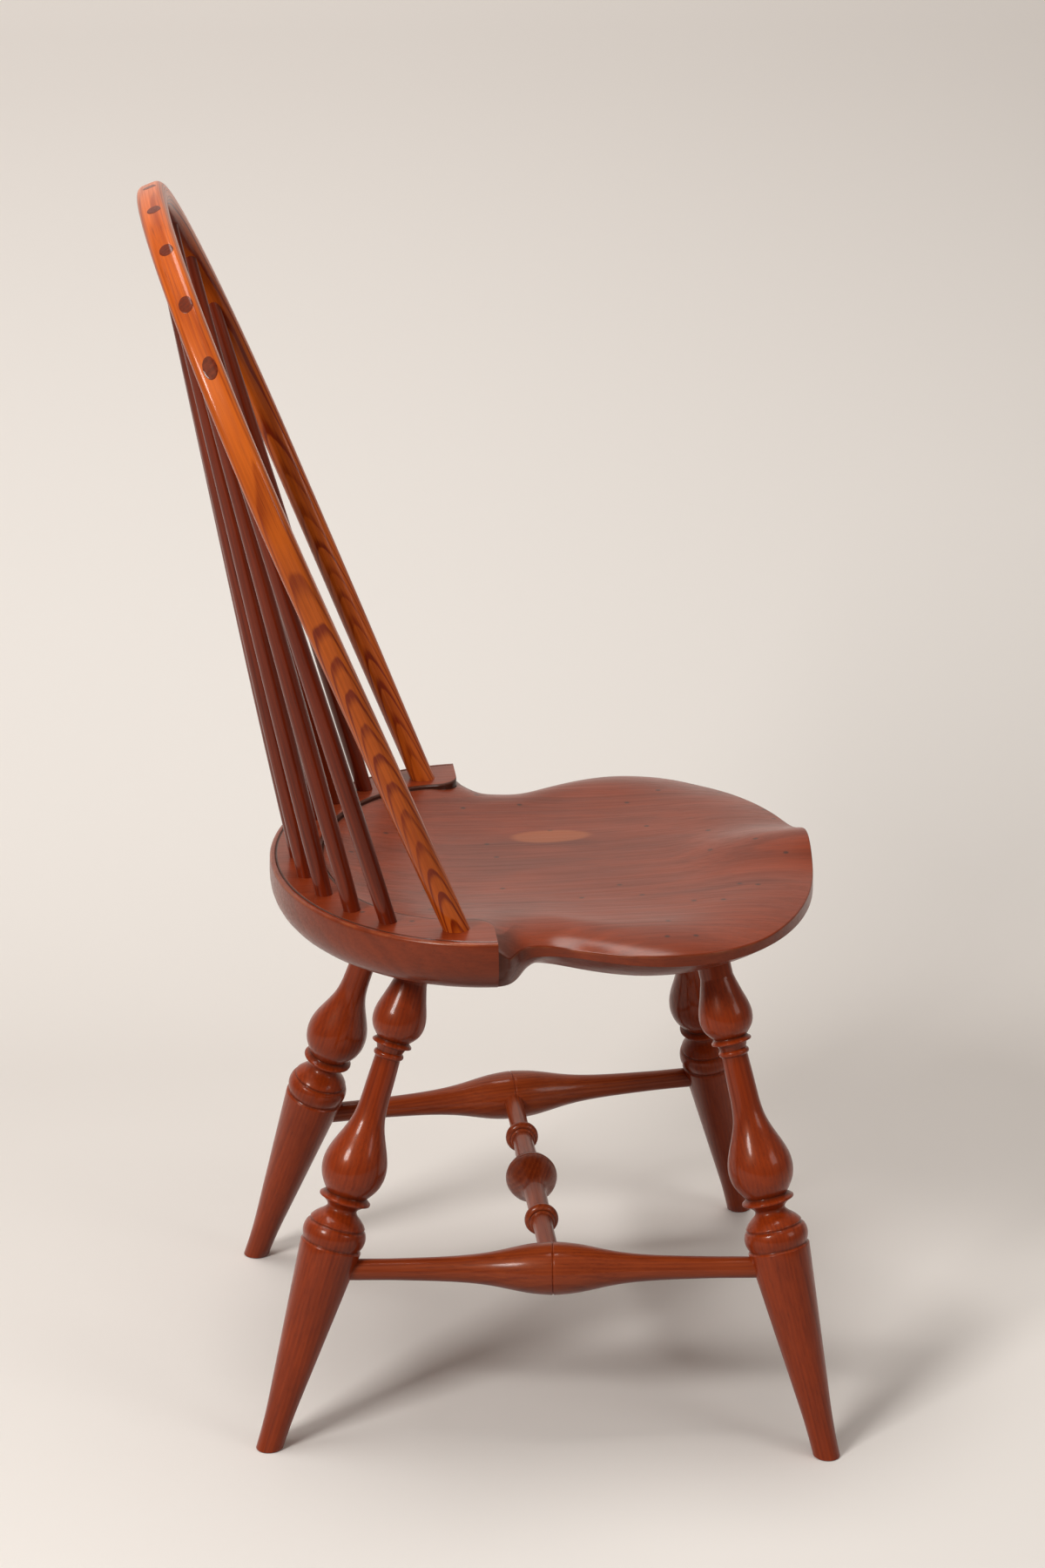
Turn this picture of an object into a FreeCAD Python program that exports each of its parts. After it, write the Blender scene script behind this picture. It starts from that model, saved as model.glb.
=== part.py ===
"""Bow-back side chair: carved seat, bent bow, nine spindles, four turned legs and three stretchers.

All sizes are in millimetres. +Z is up, the sitter faces -Y, and the sitter's left is +X.
The pieces are drawn with y = 0 midway between the front and the rear feet, then all of them are
moved along Y together, so that the origin is at the middle of the chair's bounding box, on the floor.
"""
import FreeCAD, Part
import math
import os

V = FreeCAD.Vector

# Fits
glue_gap = 0.1
cut_margin = 60.0

# Points and sections that the curved surfaces are drawn through
bow_section_points = 16
bow_stations_per_side = 16
flare_points = 16
front_edge_points = 12
deck_edge_points = 24
gutter_points = 20
rim_step_degrees = 3
saddle_columns = 45
saddle_rows = 41

# Seat plank, leaning back
seat_height = 443.5
seat_tilt_degrees = 1.1
seat_thickness = 46.0

# Deck at the back of the seat, that carries the bow and the spindles
deck_half_width = 217.0
deck_rear_radius = 172.0
deck_widest_y = 35.0
deck_front_y = 41.0
deck_edge_height = 24.0
deck_bottom_inset = 26.0
deck_middle_inset = 7.0
deck_edge_rounding = 3.0
deck_middle_share = 0.45

# Carved saddle in front of the deck
gutter_half_width = 158.0
gutter_rear_radius = 104.0
gutter_corner_radius = 19.0
front_half_width = 213.0
front_radius = 130.0
front_widest_y = -103.0
waist_half_width = 178.0
waist_y = 5.0
step_half_width = 204.0
arris_depth = 28.0
bevel_run = 34.0
front_part_lap = 45.0
saddle_depth = 18.0
pommel_half_width = 38.0
pommel_start_share = 0.5
crest_share = 0.72
crest_power = 2.3
hollow_power = 2.5
back_rise_share = 0.86
front_rise_share = 0.55
front_blend_share = 0.6
beyond_rim_share = 1.15

# Depth of the saddle's edge under the plank's top face, at angles from +X about the saddle's middle:
# the gutter's corner, the step beside the deck, the waist, the widest line, the corner and the front
edge_angles = [19.0, 9.2, 5.2, 0.0, -7.5, -14.2, -25.6, -36.4, -43.5, -52.6, -69.0]
edge_depths = [2.5, 8.0, 15.5, 18.9, 22.0, 21.0, 18.3, 19.0, 20.0, 18.5, 16.2]

# Side edge of the seat: places of its curve's points between the deck's step, the waist and the front
step_run = 3.0
step_curve_x_share = 0.25
step_curve_y_share = 0.45
flare_curve_x_share = 0.48
flare_curve_y_share = 0.42

# Bow, in a plane that leans back from the deck
bow_foot_y = 70.0
bow_foot_half_spread = 180.0
bow_rake_degrees = 22.1
bow_side_lean_degrees = 6.9
bow_side_length = 310.0
bow_shoulder_radius = 250.0
bow_shoulder_turn_degrees = 48.6
bow_foot_diameter = 19.6
bow_width = 21.0
bow_depth = 21.5
bow_squareness = 3.4
bow_round_length = 330.0
bow_round_share = 0.55

# Wedges that spread the bow's feet in the seat
wedge_length = 20.0
wedge_width = 15.0
wedge_thickness = 2.6
wedge_tip_thickness = 0.8

# Spindles
spindles_per_side = 4
spindle_base_half_width = 186.0
spindle_base_rear_radius = 134.0
spindle_base_centre_y = 50.0
spindle_base_step_degrees = 14.5
spindle_top_spacing = 57.6
spindle_foot_diameter = 13.4
spindle_swell_diameter = 14.8
spindle_swell_height = 130.0
spindle_top_diameter = 11.0
spindle_top_straight = 40.0
spindle_middle_share = 0.6
spindle_socket_depth = 28.0

# Legs
rear_foot_half_spread = 176.3
rear_foot_y = 221.6
rear_socket_half_spread = 108.8
rear_socket_y = 94.4
front_foot_half_spread = 230.6
front_foot_y = -221.6
front_socket_half_spread = 130.6
front_socket_y = -133.6
leg_tenon_length = 24.0

# Turning of the legs, from the floor up: heights are measured along the leg, each from the one before
foot_diameter = 21.0
foot_cove_height = 46.0
foot_cove_diameter = 25.8
taper_length = 128.0
taper_diameter = 49.8
groove_width = 3.4
groove_depth = 1.6
ring_height = 13.0
ring_diameter = 51.2
ring_edge_diameter = 48.0
shoulder_diameter = 45.2
shoulder_height = 4.8
cove_height = 7.0
cove_diameter = 24.2
flange_underside_height = 6.6
flange_diameter = 41.6
flange_thickness = 1.6
bulb_foot_height = 3.2
bulb_foot_diameter = 33.0
bulb_height = 25.6
bulb_diameter = 51.4
neck_flare_height = 36.0
neck_flare_diameter = 27.0
neck_length = 54.0
neck_diameter = 20.6
bead_height = 5.0
bead_diameter = 24.4
upper_flange_underside_height = 5.2
upper_flange_diameter = 32.0
upper_flange_thickness = 1.4
upper_bulb_foot_height = 2.6
upper_bulb_foot_diameter = 26.0
upper_bulb_height = 19.0
upper_bulb_diameter = 42.4
leg_top_height = 30.0
leg_top_diameter = 26.4
leg_top_least = 1.0

# How full the curves of the turning are: height and diameter shares of the points between two members
foot_cove_fullness = 0.28
shoulder_fullness = 0.62
flange_fullness = 0.7
bulb_low_share = 0.42
bulb_low_fullness = 0.76
bulb_high_share = 0.45
bulb_high_fullness = 0.62
neck_fullness = 0.25
upper_flange_fullness = 0.35
upper_bulb_fullness = 0.78
leg_top_fullness = 0.52

# Side stretchers, from a rear leg to a front leg
side_stretcher_rear_height = 143.6
side_stretcher_front_height = 149.8
side_stretcher_past_axis = 5.0
side_stretcher_end_diameter = 17.2
side_stretcher_waist_offset = 92.0
side_stretcher_waist_diameter = 19.4
side_stretcher_waist_run = 40.0
side_stretcher_flare_offset = 45.0
side_stretcher_flare_diameter = 28.6
side_stretcher_diameter = 42.4
side_stretcher_swell_share = 0.4
side_stretcher_swell_fullness = 0.78
score_width = 1.8
score_depth = 0.9

# Cross stretcher, between the side stretchers
cross_short_of_axis = 7.0
cross_end_diameter = 15.8
cross_neck_diameter = 18.4
cross_bulb_diameter = 43.2
cross_bulb_half_length = 31.0
cross_bead_offset = 82.0
cross_bead_diameter = 28.0
cross_bead_width = 9.0
cross_collar_diameter = 20.6
cross_collar_width = 3.0
cross_end_run = 12.0
cross_end_fullness = 0.4
cross_bulb_low_fullness = 0.17
cross_bulb_middle_fullness = 0.52
cross_bulb_high_fullness = 0.85


def step(t):
    """Smooth rise from 0 to 1 as t goes from 0 to 1."""
    t = min(1.0, max(0.0, t))
    return t * t * (3.0 - 2.0 * t)


def blend(low, high, t):
    """Value between low and high at the share t."""
    return low + (high - low) * t


def on_plank(x, y, z=0.0):
    """Point of the seat plank: z is measured from the plank's top face, before the seat leans back."""
    tilt = math.radians(seat_tilt_degrees)
    along_y = y * math.cos(tilt) + z * math.sin(tilt)
    return V(x, along_y, seat_height - y * math.sin(tilt) + z * math.cos(tilt))


def tilted(shape):
    """Lean a shape that was drawn level, with the plank's top face at z = 0."""
    shape.rotate(V(0, 0, 0), V(1, 0, 0), -seat_tilt_degrees)
    shape.translate(V(0, 0, seat_height))
    return shape


def along(shape, start, direction):
    """Move a shape drawn along +Z from the origin to a start point and a direction."""
    turn = FreeCAD.Rotation(V(0, 0, 1), direction)
    shape.Placement = FreeCAD.Placement(start, turn)
    return shape


def bore(start, end, diameter):
    """Cylinder for a socket, wider than its tenon by the glue gap."""
    direction = end.sub(start)
    return Part.makeCylinder(diameter / 2.0 + glue_gap, direction.Length, start, direction)


def profile_point(station, diameter):
    """Point of a turning's outline: a station along its axis and the diameter there."""
    return V(diameter / 2.0, 0.0, station)


def turned(outline):
    """Solid of revolution about Z, from an outline of one point and the lines, arcs and curves after it."""
    first = outline[0]
    last = profile_point(*first)
    edges = [Part.LineSegment(V(0, 0, first[0]), last).toShape()]
    for kind, points in outline[1:]:
        ends = [profile_point(*point) for point in points]
        if kind == "line":
            edges.append(Part.LineSegment(last, ends[-1]).toShape())
        elif kind == "arc":
            edges.append(Part.Arc(last, ends[0], ends[-1]).toShape())
        else:
            curve = Part.BSplineCurve()
            curve.interpolate([last] + ends)
            edges.append(curve.toShape())
        last = ends[-1]
    edges.append(Part.LineSegment(last, V(0, 0, last.z)).toShape())
    edges.append(Part.LineSegment(V(0, 0, last.z), V(0, 0, first[0])).toShape())
    face = Part.Face(Part.Wire(edges))
    return face.revolve(V(0, 0, 0), V(0, 0, 1), 360.0)


# Seat

def outline_right():
    """Points of the saddle's edge on the +X side, from the deck's step to the pommel."""
    flare = Part.BSplineCurve()
    front = [V(step_half_width, deck_front_y - step_run, 0)]
    step_x = blend(waist_half_width, step_half_width, step_curve_x_share)
    front.append(V(step_x, blend(waist_y, deck_front_y, step_curve_y_share), 0))
    front.append(V(waist_half_width, waist_y, 0))
    flare_x = blend(waist_half_width, front_half_width, flare_curve_x_share)
    front.append(V(flare_x, blend(waist_y, front_widest_y, flare_curve_y_share), 0))
    front.append(V(front_half_width, front_widest_y, 0))
    flare.interpolate(front)
    points = [flare.value(flare.LastParameter * i / flare_points) for i in range(flare_points)]
    for i in range(front_edge_points + 1):
        angle = math.pi / 2.0 * i / front_edge_points
        x = front_half_width * math.cos(angle)
        y = front_widest_y - front_radius * math.sin(angle)
        points.append(V(x, y, 0))
    return points


def front_wire(inset, z):
    """Closed outline of the seat's front part at height z, drawn inwards by the inset."""
    right = outline_right()
    centre = V(0, waist_y, 0)
    points = []
    for point in right:
        reach = point.sub(centre)
        share = (reach.Length - inset) / reach.Length
        points.append(V(reach.x * share, centre.y + reach.y * share, z))
    mirrored = [V(-point.x, point.y, z) for point in reversed(points[:-1])]
    edge = Part.BSplineCurve()
    edge.interpolate(points + mirrored)
    start = points[0]
    left = V(-start.x, start.y, z)
    corner_left = V(front_part_lap - start.x, deck_front_y + front_part_lap, z)
    corner_right = V(start.x - front_part_lap, deck_front_y + front_part_lap, z)
    edges = [edge.toShape()]
    edges.append(Part.LineSegment(left, corner_left).toShape())
    edges.append(Part.LineSegment(corner_left, corner_right).toShape())
    edges.append(Part.LineSegment(corner_right, start).toShape())
    return Part.Wire(edges)


def deck_wire(inset, z):
    """Closed outline of the deck at height z, drawn inwards by the inset."""
    across = deck_half_width - inset
    back = deck_rear_radius - inset
    lift = math.asin((deck_front_y - deck_widest_y) / deck_rear_radius)
    points = []
    for i in range(deck_edge_points + 1):
        angle = lift + (math.pi - 2.0 * lift) * i / deck_edge_points
        points.append(V(across * math.cos(angle), deck_widest_y + back * math.sin(angle), z))
    edge = Part.BSplineCurve()
    edge.interpolate(points)
    front = Part.LineSegment(points[-1], points[0])
    return Part.Wire([edge.toShape(), front.toShape()])


def gutter_point(angle):
    """Point (x, y) of the gutter around the back of the saddle, at an angle from +X."""
    centre_y = deck_front_y + gutter_corner_radius
    return gutter_half_width * math.cos(angle), centre_y + gutter_rear_radius * math.sin(angle)


def rim_radius(angle):
    """Distance from the saddle's middle to its rim, at an angle from +X."""
    x = math.cos(angle)
    y = math.sin(angle)
    samples = [gutter_point(math.radians(a)) for a in range(90, -1, -2 * rim_step_degrees)]
    samples += [(point.x, point.y) for point in outline_right() if point.y < waist_y + step_run]
    polar = [(math.atan2(sy - waist_y, sx), math.hypot(sx, sy - waist_y)) for sx, sy in samples]
    wanted = math.atan2(y, abs(x))
    for (a0, r0), (a1, r1) in zip(polar, polar[1:]):
        if a1 <= wanted <= a0:
            return blend(r0, r1, (a0 - wanted) / max(1e-9, a0 - a1))
    return polar[-1][1]


def edge_depth(angle):
    """Depth of the saddle's edge at an angle from +X, the same at the back as at the gutter's corner."""
    degrees = math.degrees(angle)
    pairs = list(zip(edge_angles, edge_depths))
    if degrees >= edge_angles[0]:
        return edge_depths[0]
    for (a0, d0), (a1, d1) in zip(pairs, pairs[1:]):
        if degrees >= a1:
            return blend(d0, d1, (a0 - degrees) / (a0 - a1))
    return edge_depths[-1]


def saddle_level(x, y, radius_at):
    """Height of the carved saddle under the plank's top face, as a negative number.

    The hollow is deepest in the middle. It rises to the gutter at the back and to a crest along each
    side, from which it rolls down to the edge. A narrow ridge rises to the pommel at the front.
    """
    reach = math.hypot(x, y - waist_y)
    angle = math.atan2(y - waist_y, abs(x))
    rim = radius_at(angle)
    share = min(beyond_rim_share, reach / rim)
    rim_y = waist_y + rim * math.sin(angle)
    in_front = step((front_widest_y - rim_y) / (front_blend_share * front_radius))
    rise = blend(back_rise_share, front_rise_share, in_front)
    over = max(0.0, (share - crest_share) / (1.0 - crest_share))
    roll = edge_depth(angle) - saddle_depth * (1.0 - rise)
    depth = saddle_depth * (1.0 - rise * share ** hollow_power) + roll * over ** crest_power
    ridge = math.exp(-((x / pommel_half_width) ** 2)) * in_front
    ridge *= step((share - pommel_start_share) / (1.0 - pommel_start_share))
    return -max(0.0, depth * (1.0 - ridge))


def saddle_cutter():
    """Solid above the carved saddle, bounded at the back by the gutter around the deck."""
    angles = [math.radians(a) for a in range(-90, 91, rim_step_degrees)]
    radii = [rim_radius(a) for a in angles]

    def radius_at(angle):
        place = (math.degrees(angle) + 90.0) / rim_step_degrees
        index = min(len(radii) - 2, max(0, int(place)))
        return blend(radii[index], radii[index + 1], place - index)

    half = front_half_width + cut_margin
    low_y = front_widest_y - front_radius - cut_margin
    high_y = gutter_point(math.pi / 2.0)[1] + glue_gap
    grid = []
    for i in range(saddle_columns):
        x = -half + 2.0 * half * i / (saddle_columns - 1)
        line = []
        for j in range(saddle_rows):
            y = low_y + (high_y - low_y) * j / (saddle_rows - 1)
            line.append(V(x, y, saddle_level(x, y, radius_at)))
        grid.append(line)
    surface = Part.BSplineSurface()
    surface.interpolate(grid)
    above = surface.toShape().extrude(V(0, 0, seat_thickness))
    return above.common(gutter_prism())


def gutter_prism():
    """Tall prism over the saddle: inside the gutter, and everything in front of the deck."""
    bottom = -seat_thickness
    wide = front_half_width + 2.0 * cut_margin
    low_y = front_widest_y - front_radius - 2.0 * cut_margin
    ellipse = [V(*gutter_point(math.pi * i / gutter_points), bottom) for i in range(gutter_points + 1)]
    back = Part.BSplineCurve()
    back.interpolate(ellipse)
    corner = gutter_corner_radius
    turn = corner * (1.0 - math.sqrt(0.5))
    edges = [back.toShape()]
    for side, end in ((1.0, ellipse[0]), (-1.0, ellipse[-1])):
        middle = V(end.x + side * turn, end.y - corner + turn, bottom)
        front = V(end.x + side * corner, deck_front_y, bottom)
        far = V(side * wide, deck_front_y, bottom)
        edges.append(Part.Arc(end, middle, front).toShape())
        edges.append(Part.LineSegment(front, far).toShape())
        edges.append(Part.LineSegment(far, V(side * wide, low_y, bottom)).toShape())
    edges.append(Part.LineSegment(V(-wide, low_y, bottom), V(wide, low_y, bottom)).toShape())
    wire = Part.Wire(Part.__sortEdges__(edges))
    return Part.Face(wire).extrude(V(0, 0, 3.0 * seat_thickness))


def make_seat_blank():
    """Carved seat without its sockets, drawn level with the plank's top face at z = 0."""
    middle = -deck_edge_height
    lower_middle = blend(-seat_thickness, middle, deck_middle_share)
    sections = [deck_wire(deck_bottom_inset, -seat_thickness), deck_wire(deck_middle_inset, lower_middle)]
    sections += [deck_wire(0.0, middle), deck_wire(0.0, -deck_edge_rounding)]
    sections.append(deck_wire(deck_edge_rounding, 0.0))
    deck = Part.makeLoft(sections, True, True)
    front = Part.makeLoft([front_wire(bevel_run, -seat_thickness), front_wire(0.0, -arris_depth),
                           front_wire(0.0, 0.0)], True, True)
    return deck.fuse(front).cut(saddle_cutter()).removeSplitter()


# Bow

def bow_place(reach):
    """In-plane position and heading of the bow's centre line, at a distance along it from the deck.

    The position is (across, up the rake) and the heading is the angle outwards from straight up.
    Each side is straight, then turns in a shoulder and ends in the crown, which crosses the middle.
    """
    lean = math.radians(bow_side_lean_degrees)
    turn = math.radians(bow_shoulder_turn_degrees)
    across = bow_foot_half_spread
    up = 0.0
    straight = min(reach, bow_side_length)
    across += straight * math.sin(lean)
    up += straight * math.cos(lean)
    heading = lean
    rest = max(0.0, reach - bow_side_length)
    bend = min(rest / bow_shoulder_radius, turn)
    across += bow_shoulder_radius * (math.cos(heading - bend) - math.cos(heading))
    up += bow_shoulder_radius * (math.sin(heading) - math.sin(heading - bend))
    heading -= bend
    rest = max(0.0, rest - turn * bow_shoulder_radius)
    if rest > 0.0:
        crown = across / math.cos(heading)
        bend = rest / crown
        across += crown * (math.cos(heading - bend) - math.cos(heading))
        up += crown * (math.sin(heading) - math.sin(heading - bend))
        heading -= bend
    return across, up, heading


def bow_half_length():
    """Length of the centre line from the deck to the middle of the crown."""
    shoulder_end = bow_side_length + bow_shoulder_radius * math.radians(bow_shoulder_turn_degrees)
    across, up, heading = bow_place(shoulder_end)
    crown = across / math.cos(heading)
    return shoulder_end + crown * (math.pi / 2.0 + heading)


def bow_frame(from_crown):
    """Centre point, heading, outward and backward directions of the bow at a distance from the crown."""
    reach = bow_half_length() - abs(from_crown)
    across, up, heading = bow_place(reach)
    side = 1.0 if from_crown >= 0.0 else -1.0
    rake = math.radians(bow_rake_degrees)
    plane_up = V(0, math.sin(rake), math.cos(rake))
    plane_back = V(0, math.cos(rake), -math.sin(rake))
    foot = on_plank(0.0, bow_foot_y)
    centre = foot.add(V(side * across, 0, 0)).add(plane_up * up)
    upward = V(side * math.sin(heading), 0, 0).add(plane_up * math.cos(heading))
    outward = V(side * math.cos(heading), 0, 0).sub(plane_up * math.sin(heading))
    return centre, upward, outward, plane_back


def bow_section(from_crown):
    """Closed section of the bow: round near the deck, a rounded square higher up."""
    reach = max(0.0, bow_half_length() - abs(from_crown))
    square = step((reach / bow_round_length - bow_round_share) / (1.0 - bow_round_share))
    power = blend(2.0, bow_squareness, square)
    grow = step(2.0 * reach / bow_round_length)
    half_width = blend(bow_foot_diameter, bow_width, grow) / 2.0
    half_depth = blend(bow_foot_diameter, bow_depth, grow) / 2.0
    centre, upward, outward, backward = bow_frame(from_crown)
    points = []
    for i in range(bow_section_points):
        angle = 2.0 * math.pi * i / bow_section_points
        across = math.copysign(abs(math.cos(angle)) ** (2.0 / power), math.cos(angle))
        back = math.copysign(abs(math.sin(angle)) ** (2.0 / power), math.sin(angle))
        points.append(centre.add(outward * (half_width * across)).add(backward * (half_depth * back)))
    curve = Part.BSplineCurve()
    curve.interpolate(Points=points, PeriodicFlag=True)
    return Part.Wire([curve.toShape()])


def plank_slab(low, high):
    """Wide slab between two heights of the leaning plank."""
    wide = 4.0 * deck_half_width
    slab = Part.makeBox(wide, wide, high - low, V(-wide / 2.0, -wide / 2.0, low))
    return tilted(slab)


def bow_foot_line(side):
    """Point where the bow enters the deck, and the direction down into the seat."""
    centre, upward, outward, backward = bow_frame(side * bow_half_length())
    return centre, upward * -1.0


def make_bow():
    """Bent bow, whose round feet go on straight down through the seat."""
    half = bow_half_length()
    end = half + 2.0 * seat_thickness
    count = bow_stations_per_side
    wires = [bow_section(end * i / count) for i in range(count, -count - 1, -1)]
    bow = Part.makeLoft(wires, True, False)
    return bow.common(plank_slab(-seat_thickness, 4.0 * half))


def wedge_shape(gap):
    """Wedge along +Z, thick end at the origin, grown by a gap all round."""
    half = wedge_thickness / 2.0 + gap
    tip = wedge_tip_thickness / 2.0 + gap
    below = -bow_foot_diameter
    low = half - (half - tip) / wedge_length * below
    top = wedge_length + gap
    side = -wedge_width / 2.0 - gap
    points = [V(side, -low, below), V(side, -tip, top), V(side, tip, top), V(side, low, below)]
    face = Part.Face(Part.makePolygon(points + points[:1]))
    return face.extrude(V(-2.0 * side, 0, 0))


def place_wedge(side, gap):
    """Wedge in the bow's foot, its thick end flush with the underside of the seat."""
    centre, down = bow_foot_line(side)
    tilt = math.radians(seat_tilt_degrees)
    plank_up = V(0, math.sin(tilt), math.cos(tilt))
    reach = seat_thickness / abs(down.dot(plank_up))
    wedge = along(wedge_shape(gap), centre.add(down * reach), down * -1.0)
    return wedge.common(plank_slab(-seat_thickness - gap, seat_thickness))


# Spindles

def spindle_line(index):
    """Point on the deck and point on the bow's centre line for a spindle; index 0 is the middle one."""
    angle = math.radians(index * spindle_base_step_degrees)
    x = spindle_base_half_width * math.sin(angle)
    y = spindle_base_centre_y + spindle_base_rear_radius * math.cos(angle)
    base = on_plank(x, y)
    top = bow_frame(index * spindle_top_spacing)[0]
    return base, top


def make_spindle(index, bow):
    """Shaved spindle from its socket in the deck through the bow, flush with the bow's outer face."""
    base, top = spindle_line(index)
    direction = top.sub(base).normalize()
    clear = top.sub(base).Length
    end = spindle_socket_depth + clear + 2.0 * bow_width
    swell = (spindle_socket_depth + spindle_swell_height, spindle_swell_diameter)
    middle_station = spindle_socket_depth + spindle_middle_share * clear
    middle = (middle_station, blend(spindle_top_diameter, spindle_swell_diameter, 0.5))
    straight = (spindle_socket_depth + clear - spindle_top_straight, spindle_top_diameter)
    outline = [(0.0, spindle_foot_diameter)]
    outline.append(("line", [(spindle_socket_depth, spindle_foot_diameter)]))
    outline.append(("curve", [swell, middle, straight]))
    outline.append(("line", [(end, spindle_top_diameter)]))
    spindle = along(turned(outline), base.sub(direction * spindle_socket_depth), direction)
    centre, upward, outward, backward = bow_frame(index * spindle_top_spacing)
    size = 6.0 * bow_width
    outer_half = along(Part.makeBox(size, size, size, V(-size / 2.0, -size / 2.0, 0)), centre, outward)
    return spindle.cut(outer_half).fuse(spindle.common(bow)).removeSplitter()


def spindle_socket(index):
    """Blind socket in the deck for a spindle."""
    base, top = spindle_line(index)
    direction = top.sub(base).normalize()
    return bore(base.sub(direction * (spindle_socket_depth + glue_gap)), base.add(direction * cut_margin),
                spindle_foot_diameter)


def spindle_hole(index):
    """Through hole in the bow for a spindle."""
    base, top = spindle_line(index)
    direction = top.sub(base).normalize()
    start = top.sub(direction * spindle_top_straight)
    return bore(start, top.add(direction * cut_margin), spindle_top_diameter)


# Legs

def leg_line(front, side):
    """Middle of a leg's foot on the floor, and the point where its axis meets the seat's underside."""
    if front:
        foot = V(side * front_foot_half_spread, front_foot_y, 0)
        return foot, on_plank(side * front_socket_half_spread, front_socket_y, -seat_thickness)
    foot = V(side * rear_foot_half_spread, rear_foot_y, 0)
    return foot, on_plank(side * rear_socket_half_spread, rear_socket_y, -seat_thickness)


def leg_outline(length):
    """Outline of a turned leg that meets the seat at the length given."""
    below = -foot_diameter
    outline = [(below, foot_diameter), ("line", [(0.0, foot_diameter)])]
    cove_middle = (foot_cove_height / 2.0, blend(foot_diameter, foot_cove_diameter, foot_cove_fullness))
    outline.append(("arc", [cove_middle, (foot_cove_height, foot_cove_diameter)]))
    at = foot_cove_height + taper_length
    outline.append(("line", [(at, taper_diameter)]))
    outline.append(("line", [(at + groove_width / 2.0, taper_diameter - 2.0 * groove_depth)]))
    at += groove_width
    outline.append(("line", [(at, ring_edge_diameter)]))
    outline.append(("arc", [(at + ring_height / 2.0, ring_diameter), (at + ring_height, ring_edge_diameter)]))
    at += ring_height
    outline.append(("line", [(at + groove_width / 2.0, shoulder_diameter - groove_depth)]))
    at += groove_width
    outline.append(("line", [(at, shoulder_diameter)]))
    shoulder = (at + shoulder_height, blend(cove_diameter, shoulder_diameter, shoulder_fullness))
    at += shoulder_height + cove_height
    cove = (at, cove_diameter)
    at += flange_underside_height
    under_flange = (at, blend(cove_diameter, flange_diameter, flange_fullness))
    outline.append(("curve", [shoulder, cove, under_flange]))
    outline.append(("line", [(at + flange_thickness / 2.0, flange_diameter)]))
    at += 1.5 * flange_thickness
    outline.append(("line", [(at, flange_diameter)]))
    at += bulb_foot_height
    outline.append(("line", [(at, bulb_foot_diameter)]))
    low = (at + bulb_low_share * bulb_height, blend(bulb_foot_diameter, bulb_diameter, bulb_low_fullness))
    at += bulb_height
    middle = (at, bulb_diameter)
    high_at = at + bulb_high_share * neck_flare_height
    high = (high_at, blend(neck_flare_diameter, bulb_diameter, bulb_high_fullness))
    at += neck_flare_height
    flare = (at, neck_flare_diameter)
    slim = (at + neck_length / 2.0, blend(neck_diameter, neck_flare_diameter, neck_fullness))
    at += neck_length
    outline.append(("curve", [low, middle, high, flare, slim, (at, neck_diameter)]))
    outline.append(("arc", [(at + bead_height / 2.0, bead_diameter), (at + bead_height, neck_diameter)]))
    at += bead_height
    under = at + upper_flange_underside_height
    outline.append(("line", [(under, blend(neck_diameter, upper_flange_diameter, upper_flange_fullness))]))
    outline.append(("line", [(under + upper_flange_thickness / 2.0, upper_flange_diameter)]))
    at = under + 1.5 * upper_flange_thickness
    outline.append(("line", [(at, upper_flange_diameter)]))
    at += upper_bulb_foot_height
    outline.append(("line", [(at, upper_bulb_foot_diameter)]))
    low_at = at + bulb_low_share * upper_bulb_height
    low = (low_at, blend(upper_bulb_foot_diameter, upper_bulb_diameter, upper_bulb_fullness))
    at += upper_bulb_height
    middle = (at, upper_bulb_diameter)
    high = (at + leg_top_height / 2.0, blend(leg_top_diameter, upper_bulb_diameter, leg_top_fullness))
    at += leg_top_height
    outline.append(("curve", [low, middle, high, (at, leg_top_diameter)]))
    outline.append(("line", [(max(at + leg_top_least, length + leg_tenon_length), leg_top_diameter)]))
    return outline


def make_leg(front, side):
    """Turned leg with a flat foot on the floor, a blind tenon and a socket for its side stretcher."""
    foot, socket = leg_line(front, side)
    direction = socket.sub(foot).normalize()
    length = socket.sub(foot).Length
    leg = along(turned(leg_outline(length)), foot, direction)
    wide = 20.0 * foot_diameter
    floor = Part.makeBox(wide, wide, wide, V(foot.x - wide / 2.0, foot.y - wide / 2.0, -wide))
    leg = leg.cut(floor)
    rear_end, front_end = side_stretcher_line(side)
    end, other = (front_end, rear_end) if front else (rear_end, front_end)
    inward = other.sub(end).normalize()
    start = end.sub(inward * glue_gap)
    return leg.cut(bore(start, end.add(inward * cut_margin), side_stretcher_end_diameter))


def leg_socket(front, side):
    """Blind socket in the seat for a leg."""
    foot, socket = leg_line(front, side)
    direction = socket.sub(foot).normalize()
    return bore(socket.sub(direction * cut_margin), socket.add(direction * (leg_tenon_length + glue_gap)),
                leg_top_diameter)


# Stretchers

def leg_axis_at(front, side, height):
    """Point of a leg's axis at a height above the floor."""
    foot, socket = leg_line(front, side)
    return foot.add(socket.sub(foot) * (height / socket.z))


def side_stretcher_line(side):
    """Rear and front ends of a side stretcher, each a little past its leg's axis."""
    rear = leg_axis_at(False, side, side_stretcher_rear_height)
    front = leg_axis_at(True, side, side_stretcher_front_height)
    forward = front.sub(rear).normalize()
    past = forward * side_stretcher_past_axis
    return rear.sub(past), front.add(past)


def cross_line():
    """Ends of the cross stretcher inside the side stretchers, right end first."""
    rear, front = side_stretcher_line(1.0)
    middle = rear.add(front) * 0.5
    reach = middle.x - cross_short_of_axis
    return V(-reach, middle.y, middle.z), V(reach, middle.y, middle.z)


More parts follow.
